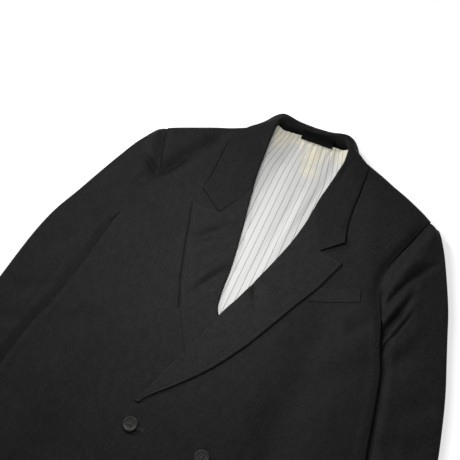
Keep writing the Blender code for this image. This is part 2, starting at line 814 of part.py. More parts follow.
def button(name, x, y):
    """A sewn button: a turned disc with a raised rim, on a short shank of thread."""
    mesh = bpy.data.meshes.new(name)
    shape = bmesh.new()
    base = front_level(x, y, 1) + BUTTON_REST
    points = [
        shape.verts.new((CM * (x + BUTTON_RADIUS * radius), CM * y, CM * (base + height)))
        for radius, height in BUTTON_PROFILE
    ]
    for lower, upper in zip(points, points[1:]):
        shape.edges.new((lower, upper))
    bmesh.ops.spin(
        shape,
        geom=shape.verts[:] + shape.edges[:],
        cent=(CM * x, CM * y, 0.0),
        axis=(0, 0, 1),
        angle=2 * math.pi,
        steps=BUTTON_SIDES,
        use_merge=True,
    )
    bmesh.ops.remove_doubles(shape, verts=shape.verts[:], dist=0.000001)
    bmesh.ops.recalc_face_normals(shape, faces=shape.faces[:])
    shape.to_mesh(mesh)
    shape.free()
    piece = bpy.data.objects.new(name, mesh)
    bpy.context.scene.collection.objects.link(piece)
    piece.data.materials.append(cloth_material(name, BUTTON_BLACK, 0.4))
    mesh.shade_smooth()
    return piece


def centre_on_footprint():
    """Move every piece so that the origin is under the middle of the garment."""
    bpy.context.view_layer.update()
    graph = bpy.context.evaluated_depsgraph_get()
    pieces = [piece for piece in bpy.data.objects if piece.type == "MESH"]
    corners = [
        point.co
        for piece in pieces
        for point in piece.evaluated_get(graph).to_mesh().vertices
    ]
    shift = [
        -(min(corner[axis] for corner in corners) + max(corner[axis] for corner in corners)) / 2
        for axis in (0, 1)
    ]
    floor = -min(corner[2] for corner in corners)
    for piece in pieces:
        piece.location = (shift[0], shift[1], floor)


back_panel("back_right", -1)
back_panel("back_left", 1)
side_panel("side_right", -1)
side_panel("side_left", 1)
under_sleeve("sleeve_right_under", -1)
under_sleeve("sleeve_left_under", 1)
upper_sleeve("sleeve_right_top", -1)
upper_sleeve("sleeve_left_top", 1)
back_lining()
front_panel("front_right", -1)
lapel("lapel_right", -1, LAPEL_RIGHT)
front_panel("front_left", 1)
lapel("lapel_left", 1, LAPEL_LEFT)
chest_welt()
collar_stand()
collar()
neck_label()
for row_number, button_y in enumerate(BUTTON_ROWS):
    for side_name, button_x in (("right", -BUTTON_SPREAD), ("left", BUTTON_SPREAD)):
        button(f"button_{side_name}_{row_number + 1}", button_x, button_y)
centre_on_footprint()
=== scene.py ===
import math

import bmesh
import bpy
import numpy as np
from mathutils import Matrix, Vector


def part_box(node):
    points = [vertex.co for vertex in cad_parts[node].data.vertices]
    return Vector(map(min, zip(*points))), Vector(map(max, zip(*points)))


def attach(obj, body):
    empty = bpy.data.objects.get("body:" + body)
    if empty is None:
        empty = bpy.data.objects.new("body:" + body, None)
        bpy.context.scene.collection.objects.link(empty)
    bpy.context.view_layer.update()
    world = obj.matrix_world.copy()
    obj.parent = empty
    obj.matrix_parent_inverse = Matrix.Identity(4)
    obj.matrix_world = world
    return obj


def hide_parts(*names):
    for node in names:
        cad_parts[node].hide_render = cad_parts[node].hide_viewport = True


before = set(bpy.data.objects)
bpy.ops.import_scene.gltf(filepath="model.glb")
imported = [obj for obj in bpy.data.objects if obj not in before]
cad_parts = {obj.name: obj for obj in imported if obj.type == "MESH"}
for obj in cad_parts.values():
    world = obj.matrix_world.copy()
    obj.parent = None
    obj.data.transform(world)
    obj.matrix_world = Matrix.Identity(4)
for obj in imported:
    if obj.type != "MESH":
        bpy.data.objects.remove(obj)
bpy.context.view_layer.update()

# The photographer's camera, above the wearer's left side, looks down on the chest of the blazer.
# The blazer is measured in centimetres from its neck point: x to the wearer's left, y up to the
# collar, z up from the floor. Its pieces are set down in metres, in the frame of the solids.
CM = 0.01
HEM_Y = -76.5
HEM_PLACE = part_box("front_left")[0][1]
CAMERA_AZIMUTH = math.radians(24.12)
CAMERA_ELEVATION = math.radians(59.84)
CAMERA_DISTANCE = 1.0047
CAMERA_LENS_MM = 50.0
CAMERA_SENSOR_MM = 36.0
CAMERA_AIM = (-5.62, -21.45, 0.0)


def in_frame(x, y, z):
    """Centimetres of the garment to metres of the frame."""
    return x * CM, (y - HEM_Y) * CM + HEM_PLACE, z * CM


camera_back = Vector((
    math.sin(CAMERA_AZIMUTH) * math.cos(CAMERA_ELEVATION),
    -math.cos(CAMERA_AZIMUTH) * math.cos(CAMERA_ELEVATION),
    math.sin(CAMERA_ELEVATION),
))
camera_data = bpy.data.cameras.new("camera")
camera_data.lens = CAMERA_LENS_MM
camera_data.sensor_width = CAMERA_SENSOR_MM
camera = bpy.data.objects.new("camera", camera_data)
camera.location = Vector(in_frame(*CAMERA_AIM)) + camera_back * CAMERA_DISTANCE
camera.rotation_euler = camera_back.to_track_quat("Z", "Y").to_euler()
bpy.context.scene.collection.objects.link(camera)
bpy.context.scene.camera = camera


# The light table that the blazer lies on: a smooth pale sheet that glows a little, in a room with
# white walls. One small lamp hangs close over the chest, and a large one far out on the wearer's
# right grazes the creases.
WHITE = (1.0, 1.0, 1.0, 1.0)
FLOOR_SIZE = 12.0
FLOOR_WHITE = (0.93, 0.93, 0.93, 1.0)
FLOOR_ROUGHNESS = 0.8
FLOOR_GLOSS = 0.1
FLOOR_GLOW = 0.6
WALL_LIGHT = 0.215

# Name, place, aim, size, watts
LAMPS = (
    ("lamp_over", (-0.075, 0.12, 0.38), (-0.075, 0.12, 0.0), 0.2, 1.07),
    ("lamp_side", (-3.4, 1.4, 2.3), (0.0, 0.1, 0.0), 0.8, 60.0),
)


def surface(name, roughness, gloss):
    """A new material and its shader, with the finish that is the same all over."""
    material = bpy.data.materials.new(name)
    material.use_nodes = True
    shader = material.node_tree.nodes["Principled BSDF"]
    shader.inputs["Roughness"].default_value = roughness
    shader.inputs["Specular IOR Level"].default_value = gloss
    return material, shader


def add_object(name, data):
    added = bpy.data.objects.new(name, data)
    bpy.context.scene.collection.objects.link(added)
    return added


floor_paper, floor_shader = surface("floor_paper", FLOOR_ROUGHNESS, FLOOR_GLOSS)
floor_shader.inputs["Base Color"].default_value = FLOOR_WHITE
floor_shader.inputs["Emission Color"].default_value = WHITE
floor_shader.inputs["Emission Strength"].default_value = FLOOR_GLOW
floor_mesh = bpy.data.meshes.new("floor")
floor_grid = bmesh.new()
bmesh.ops.create_grid(floor_grid, x_segments=1, y_segments=1, size=FLOOR_SIZE / 2)
floor_grid.to_mesh(floor_mesh)
floor_grid.free()
floor_mesh.materials.append(floor_paper)
add_object("floor", floor_mesh)

room = bpy.data.worlds.new("room")
room.use_nodes = True
room.node_tree.nodes["Background"].inputs["Color"].default_value = WHITE
room.node_tree.nodes["Background"].inputs["Strength"].default_value = WALL_LIGHT
bpy.context.scene.world = room
bpy.context.scene.view_settings.view_transform = "Standard"

for lamp_name, lamp_place, lamp_aim, lamp_size, lamp_watts in LAMPS:
    lamp_data = bpy.data.lights.new(lamp_name, "AREA")
    lamp_data.shape = "DISK"
    lamp_data.size = lamp_size
    lamp_data.energy = lamp_watts
    lamp = add_object(lamp_name, lamp_data)
    lamp.location = lamp_place
    lamp_back = Vector(lamp_place) - Vector(lamp_aim)
    lamp.rotation_euler = lamp_back.to_track_quat("Z", "Y").to_euler()


# The back: two panels of wool twill sewn together down the middle, flat on the floor.
# Their sides lie over the tucked sleeves, and their tops turn up to the shoulder seams.
BODY_CLOTH = 0.2
SEAM_GAP = 0.03
FLOOR_LEVEL = BODY_CLOTH / 2
SHOULDER_EDGE_LEVEL = 1.4
SHOULDER_ROUND = 1.2
SHOULDER_SLANT = 0.87
SIDE_PANEL_WIDTH = 4.5
SIDES = (("right", -1), ("left", 1))

# Where a smooth step begins, and its width, which is below 0 where the step runs down or inwards
TUCK_BEGINS = (-21.0, -6.5)
TUCK_ENDS = (HEM_Y, 5.0)
BACK_LIFTS = (13.7, 4.5)
NECK_ENDS = (7.5, 1.5)
BACK_ARMHOLE = (-28.6, 0.45)
BACK_BOW = (-16.0, 16.0)

# How far the sleeve under its side lifts the back
BACK_LIFT = 0.65

# The edges along the armhole seams turn in: inset from the seam, width and height of the turn
SEAM_INSET = 0.02
SEAM_TURN = (0.06, 0.06)
BACK_TURN_SHARE = 0.04

# Outline of the shoulders seen from above
# out from centre, y on the wearer's right, y on the wearer's left
SHOULDER_LINE = (
    (0.0, 1.15, 1.15),
    (4.0, 1.15, 1.15),
    (6.3, 0.4, 0.5),
    (8.5, -1.5, -1.0),
    (10.8, -2.95, -2.1),
    (13.2, -4.15, -3.2),
    (15.5, -5.05, -4.4),
    (18.0, -6.15, -5.6),
    (21.0, -7.5, -7.3),
    (22.6, -8.3, -8.4),
    (24.3, -9.2, -9.6),
    (35.0, -15.0, -16.0),
)

# Armhole above the underarm, side fold of the body below it
# y, out from centre on the wearer's right, on the wearer's left
BODY_EDGE = (
    (-76.5, 26.6, 26.6),
    (-66.0, 26.2, 26.2),
    (-55.0, 25.6, 25.4),
    (-48.0, 25.0, 24.7),
    (-44.0, 24.1, 24.1),
    (-38.0, 23.4, 23.3),
    (-34.5, 23.0, 22.7),
    (-31.0, 22.8, 21.6),
    (-27.5, 22.5, 20.6),
    (-24.0, 21.6, 19.3),
    (-21.7, 21.1, 18.8),
    (-19.0, 20.5, 18.9),
    (-16.0, 20.7, 19.9),
    (-13.0, 21.6, 21.1),
    (-10.5, 22.4, 22.0),
    (-8.5, 22.9, 22.75),
)

# Ends of a back panel's rows: y at the centre seam, y at its side
BACK_ROWS = (
    (-76.5, -76.5),
    (-30.0, -30.0),
    (-28.9, -28.7),
    (-28.0, -28.1),
    (-25.0, -25.2),
    (-16.5, -19.6),
    (-8.5, -14.6),
    (-2.4, -11.1),
    (0.4, -9.3),
    (1.15, -8.7),
)


def ease(t):
    """A smooth step from 0 to 1."""
    t = np.clip(t, 0.0, 1.0)
    return t * t * (3 - 2 * t)


def step(value, start, width):
    return ease((value - start) / width)


def blend(a, b, t):
    return a + (b - a) * t


def read(table, key, column):
    """A smooth curve through one column of a table whose first column rises."""
    table = np.array(table, float)
    keys, values = table[:, 0], table[:, column]
    low = np.clip(np.searchsorted(keys, key) - 1, 0, len(keys) - 2)
    before, after = np.maximum(low - 1, 0), np.minimum(low + 2, len(keys) - 1)
    width = keys[low + 1] - keys[low]
    t = np.clip((key - keys[low]) / width, 0.0, 1.0)
    leave = (values[low + 1] - values[before]) / (keys[low + 1] - keys[before]) * width
    arrive = (values[after] - values[low]) / (keys[after] - keys[low]) * width
    rise = values[low + 1] - values[low]
    leave = np.where(rise * leave <= 0, 0.0, np.clip(leave, -3 * np.abs(rise), 3 * np.abs(rise)))
    arrive = np.where(rise * arrive <= 0, 0.0, np.clip(arrive, -3 * np.abs(rise), 3 * np.abs(rise)))
    bend = (2 * t - 3) * t * t + 1
    start = bend * values[low] + ((t - 2) * t + 1) * t * leave
    return start + (1 - bend) * values[low + 1] + (t - 1) * t * t * arrive


def row_at(table, place):
    """The columns of a table at a place from 0, its first row, to 1, its last."""
    numbered = [(index,) + tuple(row) for index, row in enumerate(table)]
    key = np.asarray(place) * (len(table) - 1)
    return [read(numbered, key, column + 1) for column in range(len(table[0]))]


def evenly(table, column, share):
    """The place in a table where its column has run that share of its whole way."""
    run = np.array([row[column] for row in table], float)
    run = (run - run[0]) / (run[-1] - run[0])
    return np.interp(share, run, np.linspace(0.0, 1.0, len(table)))


def side_column(side):
    """The column of a table that holds the given side: -1 is the wearer's right."""
    return 1 if side < 0 else 2


def shoulder_y(x, side):
    return read(SHOULDER_LINE, np.abs(x), side_column(side))


def body_edge(y, side):
    return read(BODY_EDGE, y, side_column(side))


def tuck(y):
    """How fully the sleeve lies under the body, along its length."""
    return step(y, *TUCK_BEGINS) * step(y, *TUCK_ENDS)


def below_shoulder(x, y, side):
    """Distance from the shoulder line, square to its slant."""
    return (shoulder_y(x, side) - y) * SHOULDER_SLANT


def rounding(depth):
    """Height of a quarter circle that starts at the shoulder's edge."""
    share = 1 - np.clip(depth, 0.0, SHOULDER_ROUND) / SHOULDER_ROUND
    return np.sqrt(1 - share * share)


def back_level(x, y, side):
    """Middle of the back's cloth: on the floor, or lifted by the sleeve under its side."""
    level = FLOOR_LEVEL + BACK_LIFT * step(np.abs(x), *BACK_LIFTS) * tuck(y)
    share = blend(1.0, rounding(below_shoulder(x, y, side)), step(np.abs(x), *NECK_ENDS))
    return blend(SHOULDER_EDGE_LEVEL - SEAM_GAP, level, share)


def stops(*parts):
    """Places from 0 to 1 with the given count of equal steps up to each given place."""
    places = [0.0]
    for end, count in parts:
        places.extend(np.linspace(places[-1], end, count + 1)[1:])
    return np.array(places)


# Edges of cut cloth are softened by this share of its thickness, where they turn this far
SOFT_EDGE = 0.3
SOFT_EDGE_ANGLE = math.radians(60)


def cloth(name, node, material, across_stops, along_stops, place, thickness):
    """A wall of cloth: place(across, along) gives its middle surface, each from 0 to 1.

    The cloth's own map is in metres along its threads, measured over the surface.
    """
    columns, rows = len(across_stops) - 1, len(along_stops) - 1
    grid = bmesh.new()
    bmesh.ops.create_grid(grid, x_segments=columns, y_segments=rows, size=0.5)
    mesh = bpy.data.meshes.new(name)
    grid.to_mesh(mesh)
    grid.free()
    flat = np.empty(3 * len(mesh.vertices), np.float32)
    mesh.vertices.foreach_get("co", flat)
    share = flat.reshape(-1, 3).astype(float) + 0.5
    column = np.rint(share[:, 0] * columns).astype(int)
    row = np.rint(share[:, 1] * rows).astype(int)
    points = np.column_stack(in_frame(*place(across_stops[column], along_stops[row])))
    mesh.vertices.foreach_set("co", points.astype(np.float32).ravel())

    lattice = np.zeros((rows + 1, columns + 1, 3))
    lattice[row, column] = points
    step_across = np.linalg.norm(np.diff(lattice, axis=1), axis=2)
    step_along = np.linalg.norm(np.diff(lattice, axis=0), axis=2)
    thread_across = np.pad(np.cumsum(step_across, axis=1), ((0, 0), (1, 0)))
    thread_along = np.pad(np.cumsum(step_along, axis=0), ((1, 0), (0, 0)))
    thread_across -= thread_across[:, columns // 2:columns // 2 + 1]
    threads = np.column_stack([thread_across[row, column], thread_along[row, column]])
    corners = np.empty(len(mesh.loops), np.int32)
    mesh.loops.foreach_get("vertex_index", corners)
    layer = mesh.uv_layers.new(name="threads")
    layer.data.foreach_set("uv", threads[corners].astype(np.float32).ravel())

    mesh.shade_smooth()
    mesh.update()
    mesh.materials.append(material)
    piece = add_object(name, mesh)
    wall = piece.modifiers.new("wall", "SOLIDIFY")
    wall.thickness = CM * thickness
    wall.offset = 0.0
    wall.use_even_offset = True
    wall.thickness_clamp = 1.0
    wall.use_thickness_angle_clamp = True
    soften = piece.modifiers.new("soft_edge", "BEVEL")
    soften.width = CM * thickness * SOFT_EDGE
    soften.segments = 2
    soften.limit_method = "ANGLE"
    soften.angle_limit = SOFT_EDGE_ANGLE
    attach(piece, "root")
    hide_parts(node)
    return piece


# Worsted: finish, stretch of the yarns' streaks, waver of the ribs, relief in metres and strength
WOOL_ROUGHNESS = 0.75
WOOL_GLOSS = 0.24
YARN_STRETCH = (1.0, 0.6, 1.0)
RIB_WAVER = 0.6
WEAVE_RELIEF = 0.00012
WEAVE_STRENGTH = 0.5

# Grains of its colour: repeats to a metre, layers of detail. Shares of the coarser two.
FLECKS = (800.0, 2.0)
MOTTLE = (330.0, 4.0)
BLOTCHES = (95.0, 3.0)
RIBS = 600.0
MOTTLE_SHARE = 0.45
BLOTCH_SHARE = 0.23

# The grain that gives the darkest and the lightest colour
GRAIN_RANGE = (0.375, 0.645)

# Its darkest and lightest colour
BODY_SHADES = ((0.0046, 0.0046, 0.0046, 1.0), (0.0186, 0.0186, 0.0186, 1.0))


def pattern(tree, kind, output, inputs, **settings):
    """A new node's output. Each of its inputs is a value, or the output of another node."""
    made = tree.nodes.new("ShaderNode" + kind)
    for setting, value in settings.items():
        setattr(made, setting, value)
    for socket, value in inputs.items():
        if isinstance(value, bpy.types.NodeSocket):
            tree.links.new(value, made.inputs[socket])
        else:
            made.inputs[socket].default_value = value
    return made.outputs[output]


def noise(tree, place, scale, detail, distortion=0.0):
    inputs = {"Vector": place, "Scale": scale, "Detail": detail, "Distortion": distortion}
    return pattern(tree, "TexNoise", "Fac", inputs)


def two_tone(tree, factor, first, second):
    """The colour between two, by a factor from 0 to 1."""
    inputs = {"Factor": factor, "A": first, "B": second}
    return pattern(tree, "Mix", "Result", inputs, data_type="RGBA")


def wool(name, dark, light, roughness=WOOL_ROUGHNESS, gloss=WOOL_GLOSS):
    """Worsted twill: fine diagonal ribs and flecks of lighter fibre, worn a little in blotches."""
    material, shader = surface(name, roughness, gloss)
    tree = material.node_tree
    threads = pattern(tree, "UVMap", "UV", {}, uv_map="threads")
    yarns = pattern(tree, "VectorMath", "Vector", {0: threads, 1: YARN_STRETCH}, operation="MULTIPLY")
    flecks = noise(tree, yarns, *FLECKS)
    inputs = {"Factor": MOTTLE_SHARE, "A": flecks, "B": noise(tree, yarns, *MOTTLE)}
    speckle = pattern(tree, "Mix", "Result", inputs, data_type="FLOAT")
    inputs = {"Factor": BLOTCH_SHARE, "A": speckle, "B": noise(tree, yarns, *BLOTCHES)}
    worn = pattern(tree, "Mix", "Result", inputs, data_type="FLOAT")
    inputs = {"Value": worn, "From Min": GRAIN_RANGE[0], "From Max": GRAIN_RANGE[1]}
    shade = pattern(tree, "MapRange", "Result", inputs)
    tree.links.new(two_tone(tree, shade, dark, light), shader.inputs["Base Color"])

    inputs = {"Vector": threads, "Scale": RIBS, "Distortion": RIB_WAVER}
    ribs = pattern(tree, "TexWave", "Fac", inputs, bands_direction="DIAGONAL")
    relief = pattern(tree, "Math", "Value", {0: ribs, 1: flecks}, operation="ADD")
    inputs = {"Strength": WEAVE_STRENGTH, "Distance": WEAVE_RELIEF, "Height": relief}
    tree.links.new(pattern(tree, "Bump", "Normal", inputs), shader.inputs["Normal"])
    return material


body_wool = wool("body_wool", *BODY_SHADES)
BACK_ACROSS = stops((1 - BACK_TURN_SHARE, 56), (1.0, 6))
BACK_ALONG = stops((0.609, 68), (0.627, 10), (0.9, 36), (1.0, 36))

for word, side in SIDES:

    def back_place(across, along):
        centre_y, side_y = row_at(BACK_ROWS, evenly(BACK_ROWS, 0, along))
        at_armhole = step(side_y, *BACK_ARMHOLE)
        inset = blend(SIDE_PANEL_WIDTH, SEAM_INSET + SEAM_TURN[0], at_armhole)
        flat = np.minimum(across / (1 - BACK_TURN_SHARE), 1.0)
        turn = np.maximum(across - 1 + BACK_TURN_SHARE, 0.0) / BACK_TURN_SHARE * math.pi / 2
        x = blend(SEAM_GAP / 2, body_edge(side_y, side) - inset, flat)
        y = blend(centre_y, side_y, flat)
        y = y + (shoulder_y(x, side) - blend(*BACK_ROWS[-1], flat)) * step(centre_y, *BACK_BOW)
        z = back_level(x, y, side) + SEAM_TURN[1] * at_armhole * (1 - np.cos(turn))
        return side * (x + SEAM_TURN[0] * np.sin(turn)), y, z

    back = cloth(
        f"back_{word}_cloth", f"back_{word}", body_wool,
        BACK_ACROSS, BACK_ALONG, back_place, BODY_CLOTH,
    )


# The fronts: canvassed wool, from the roll line or front edge to the armhole and side seam. They
# lie on the back, rise over the hollow chest and shoulders, and sink towards the armhole seams.
# Below the lapels they wrap over each other, the wearer's left one on top.
FRONT_LEVEL = 0.55
FRONT_LOWEST = 0.36
FRONT_LIFT = 0.7
OVERLAP_LIFT = 0.52
SHOULDER_FALL = 0.2
FOLD_RADIUS = 0.18
BREAK_Y = -51.5
ROLL_INSET = 0.35
FRONT_TURN_SHARE = 0.03

# Smooth steps: start and width
FRONT_LIFTS = (12.0, 7.0)
SHOULDER_FALLS = (5.0, -5.0)
OVERLAP_ACROSS = (14.0, -6.5)
OVERLAP_ALONG = (-22.0, -13.0)
BELOW_SHOULDER = (0.2, 2.0)
LINING_ACROSS = (7.2, -0.6)
LINING_ALONG = (-46.0, 2.0)
ROLL_BEGINS = (BREAK_Y, 0.6)
FRONT_ARMHOLE = (-28.35, 0.35)

# Low swells all over: size, height
FRONT_SWELLS = ((2.9, 0.030), (1.3, 0.010))

# Rise of the front over the chest and the shoulder: distance below the shoulder line, rise
CHEST_RISE = (
    (-2.0, 2.1),
    (0.0, 2.1),
    (3.0, 2.0),
    (6.0, 1.65),
    (10.0, 1.1),
    (15.0, 0.55),
    (20.0, 0.2),
    (26.0, 0.0),
    (90.0, 0.0),
)

# Creases of each front: from x, y to x, y, bow, width, height
FRONT_CREASES = {
    -1: (
        (-20.9, -18.0, -12.9, -4.4, 0.2, 1.15, -1.5),
        (-17.6, -18.6, -11.6, -9.0, -0.2, 1.5, 0.26),
        (-3.9, -18.5, -11.3, -24.9, 0.5, 0.8, 0.2),
        (-3.0, -20.0, -10.6, -26.6, 0.3, 0.85, -0.55),
        (-9.6, -25.2, -14.8, -27.6, 0.0, 1.0, -0.22),
        (-3.4, -22.8, -9.6, -28.6, 0.3, 1.1, 0.2),
        (-2.8, -26.2, -7.6, -34.4, 0.4, 0.85, 0.56),
        (-1.2, -27.0, -6.4, -35.6, 0.4, 0.6, -0.45),
        (-14.5, -28.0, -17.5, -39.5, 0.8, 2.4, -0.24),
        (-18.8, -42.0, -18.3, -52.0, 0.5, 2.4, -0.24),
        (-21.4, -25.0, -13.5, -31.0, 0.4, 2.0, 0.09),
        (-20.5, -33.0, -10.5, -46.0, 0.7, 2.6, 0.22),
        (-22.0, -56.0, -9.0, -62.0, 0.9, 2.2, -0.2),
        (-14.0, -60.0, -15.5, -74.0, 0.6, 2.6, -0.2),
    ),
    1: (
        (1.5, -28.2, 3.5, -32.8, 0.1, 0.5, -0.32),
        (3.6, -27.8, 6.0, -33.0, 0.3, 1.2, 0.16),
        (16.2, -30.2, 19.6, -28.0, 0.2, 1.2, -0.3),
        (19.0, -35.0, 12.0, -43.0, -0.6, 2.2, -0.22),
        (20.5, -30.5, 13.0, -36.0, -0.6, 2.0, 0.2),
        (13.4, -8.5, 16.5, -20.0, 0.4, 1.8, 0.22),
        (10.0, -44.0, 17.5, -55.0, 0.5, 2.6, -0.24),
        (-5.0, -52.0, 10.0, -58.0, 0.5, 1.6, -0.16),
        (-4.5, -67.0, 12.0, -61.0, 0.7, 2.0, -0.18),
        (16.0, -60.0, 17.5, -74.0, 0.6, 2.6, -0.2),
    ),
}

# Sink of the cloth towards the armhole seam
# y, depth on the wearer's right, depth on the wearer's left
ARMHOLE_SINK = (
    (-31.0, 0.0, 0.0),
    (-27.0, 0.05, 0.16),
    (-22.0, 0.12, 0.5),
    (-17.0, 0.22, 0.66),
    (-13.0, 0.34, 0.7),
    (-10.0, 0.26, 0.45),
    (-8.5, 0.05, 0.1),
)
ARMHOLE_SINK_WIDTH = 1.0

# Roll of the front's cloth beside the side fold: height, distance from the fold, width
FOLD_ROLL = (0.1, 0.9, 0.6)
FOLD_ROLL_BEGINS = (-24.0, -6.0)

# Outer edge of each lapel, from the break to the peak, where the front sinks beside it
LAPEL_OUTER = {
    -1: ((1.0, -47.0), (-2.0, -44.0), (-4.8, -39.8), (-6.9, -36.4), (-8.6, -32.6), (-9.75, -29.2),
         (-11.0, -25.5), (-11.9, -22.4), (-12.6, -20.1)),
    1: ((-4.9, -50.1), (-1.6, -46.8), (1.5, -43.0), (4.4, -38.3), (6.9, -33.2), (8.8, -29.1),
        (10.4, -25.9), (11.7, -22.6), (12.5, -20.6)),
}
# Outer edge of each collar end, from its corner to the shoulder
COLLAR_OUTER = {
    -1: ((-12.35, -17.2), (-12.0, -14.9), (-11.9, -11.6), (-11.9, -8.4), (-11.6, -5.6)),
    1: ((11.75, -17.4), (11.2, -15.1), (10.9, -12.0), (10.9, -8.8), (10.8, -5.7)),
}
# Each trough: depth beside the lapel, depth beside the collar, and how far up each begins
EDGE_SINK = {-1: (0.2, 0.18), 1: (0.08, 0.24)}
EDGE_SINK_START = (3.0, 0.0)
# Their middle outside the edge, their width, and how they fade out at both ends
EDGE_SINK_OUT = 0.12
EDGE_SINK_WIDTH = 0.17
EDGE_SINK_FADES = (1.5, 0.6, 1.2)

# Front edges: roll line down to the break, then the straight edge of the overlap
# y, x of the wearer's right front, x of the wearer's left front
FRONT_EDGE = (
    (-76.5, 7.0, -7.0),
    (-57.0, 7.0, -7.0),
    (-53.0, 6.6, -6.6),
    (-49.0, 5.0, -5.3),
    (-45.0, 3.3, -3.95),
    (-41.0, 1.6, -2.6),
    (-36.3, -0.7, -1.1),
    (-34.5, -1.8, -0.5),
    (-32.0, -2.3, 0.5),
    (-28.0, -2.65, 1.8),
    (-24.0, -3.25, 3.05),
    (-20.0, -3.95, 4.2),
    (-16.0, -4.7, 5.0),
    (-12.0, -5.4, 5.4),
    (-8.0, -5.75, 6.1),
    (-4.0, -6.0, 6.8),
    (0.4, -6.1, 6.5),
)

# Ends of a front's rows: y at its front edge, y at its side, share of the shoulder's bow
FRONT_ROWS = (
    (-76.5, -76.5, 0.0),
    (-57.0, -57.0, 0.0),
    (-41.0, -41.0, 0.0),
    (-35.5, -36.3, 0.0),
    (-30.0, -32.0, 0.0),
    (-24.5, -28.35, 0.0),
    (-24.0, -28.0, 0.0),
    (-17.0, -22.4, 0.1),
    (-10.0, -16.9, 0.3),
    (-4.6, -12.7, 0.6),
    (-0.9, -9.95, 0.93),
    (0.4, -8.7, 1.0),
)


def swell(x, y, size, height):
    """The low uneven swells of cloth that lies on a flat place."""
    across = np.sin(x / size + 1.3 * np.sin(y / (1.7 * size)))
    return height * across * np.cos(y / (1.3 * size) + 0.8 * np.sin(x / (1.9 * size)))


# Creases fade in and out along their line, in shares of its length: start and width. They vary in
# height, and beside each trough stands a low swell: its share of the height, its width.
CREASE_FADES_IN = (-0.1, 0.3)
CREASE_FADES_OUT = (1.1, -0.45)
CREASE_UNEVEN = 0.25
CREASE_SWELL = (0.18, 2.2)


def crease(x, y, row):
    """A soft trough, or a ridge where its height is above 0, along a bowed line that fades out."""
    from_x, from_y, to_x, to_y, bow, width, height = row
    along_x, along_y = to_x - from_x, to_y - from_y
    length = math.hypot(along_x, along_y)
    share = ((x - from_x) * along_x + (y - from_y) * along_y) / length**2
    aside = ((x - from_x) * along_y - (y - from_y) * along_x) / length
    aside = (aside - bow * 4 * share * (1 - share)) / width
    fade = step(share, *CREASE_FADES_IN) * step(share, *CREASE_FADES_OUT)
    uneven = 1 + CREASE_UNEVEN * np.sin(8 * share + 3 * from_x)
    beside, reach = CREASE_SWELL
    profile = np.exp(-aside * aside) - beside * np.exp(-((aside / reach) ** 2))
    return height * uneven * fade * profile


def creases(x, y, table):
    return sum(crease(x, y, row) for row in table)


def armhole_sink(x, y, side):
    """Depth of the trough that the armhole seam pulls into the front, and the fold's roll below."""
    inside = np.abs(body_edge(y, side) - np.abs(x))
    sink = read(ARMHOLE_SINK, y, side_column(side)) * np.exp(-((inside / ARMHOLE_SINK_WIDTH) ** 2))
    roll = FOLD_ROLL[0] * np.exp(-(((inside - FOLD_ROLL[1]) / FOLD_ROLL[2]) ** 2))
    return sink - roll * step(y, *FOLD_ROLL_BEGINS)


def edge_sink(x, y, side):
    """Depth of the narrow trough in the front just outside the edges of the lapel and collar."""
    begins, past, ends = EDGE_SINK_FADES
    sunk = 0.0
    edges = (LAPEL_OUTER[side], COLLAR_OUTER[side])
    for outer, depth, start in zip(edges, EDGE_SINK[side], EDGE_SINK_START):
        line = np.array(outer)
        edge_x = np.interp(y, line[:, 1], line[:, 0])
        slope = np.interp(y, line[:, 1], np.gradient(line[:, 0], line[:, 1]))
        outside = side * (x - edge_x) / np.sqrt(1 + slope * slope)
        fade = ease((y - line[0, 1] - start) / begins) * ease((line[-1, 1] + past - y) / ends)
        sunk = sunk + depth * fade * np.exp(-(((outside - EDGE_SINK_OUT) / EDGE_SINK_WIDTH) ** 2))
    return sunk


def front_level(x, y, side):
    """Middle of a front's cloth, with its creases."""
    depth = below_shoulder(x, y, side)
    level = FRONT_LEVEL + FRONT_LIFT * step(np.abs(x), *FRONT_LIFTS) * tuck(y)
    level = level + read(CHEST_RISE, depth, 1) - SHOULDER_FALL * step(depth, *SHOULDER_FALLS)
    if side > 0:
        level = level + OVERLAP_LIFT * step(x, *OVERLAP_ACROSS) * step(y, *OVERLAP_ALONG)
    shaped = creases(x, y, FRONT_CREASES[side]) - armhole_sink(x, y, side) - edge_sink(x, y, side)
    shaped = shaped + swell(x, y, *FRONT_SWELLS[0]) + swell(y, x, *FRONT_SWELLS[1])
    level = level + shaped * step(depth, *BELOW_SHOULDER)
    over_lining = step(np.abs(x), *LINING_ACROSS) * step(y, *LINING_ALONG)
    level = np.maximum(level, blend(FRONT_LOWEST, FRONT_LEVEL, over_lining))
    return blend(SHOULDER_EDGE_LEVEL + SEAM_GAP, level, rounding(depth))


def front_edge(y, side):
    return read(FRONT_EDGE, y, side_column(side))


FRONT_ACROSS = {
    -1: stops((0.24, 18), (0.5, 58), (1 - FRONT_TURN_SHARE, 48), (1.0, 8)),
    1: stops((0.56, 84), (1 - FRONT_TURN_SHARE, 40), (1.0, 8)),
}
FRONT_ALONG = stops((0.33, 44), (0.95, 162), (1.0, 34))

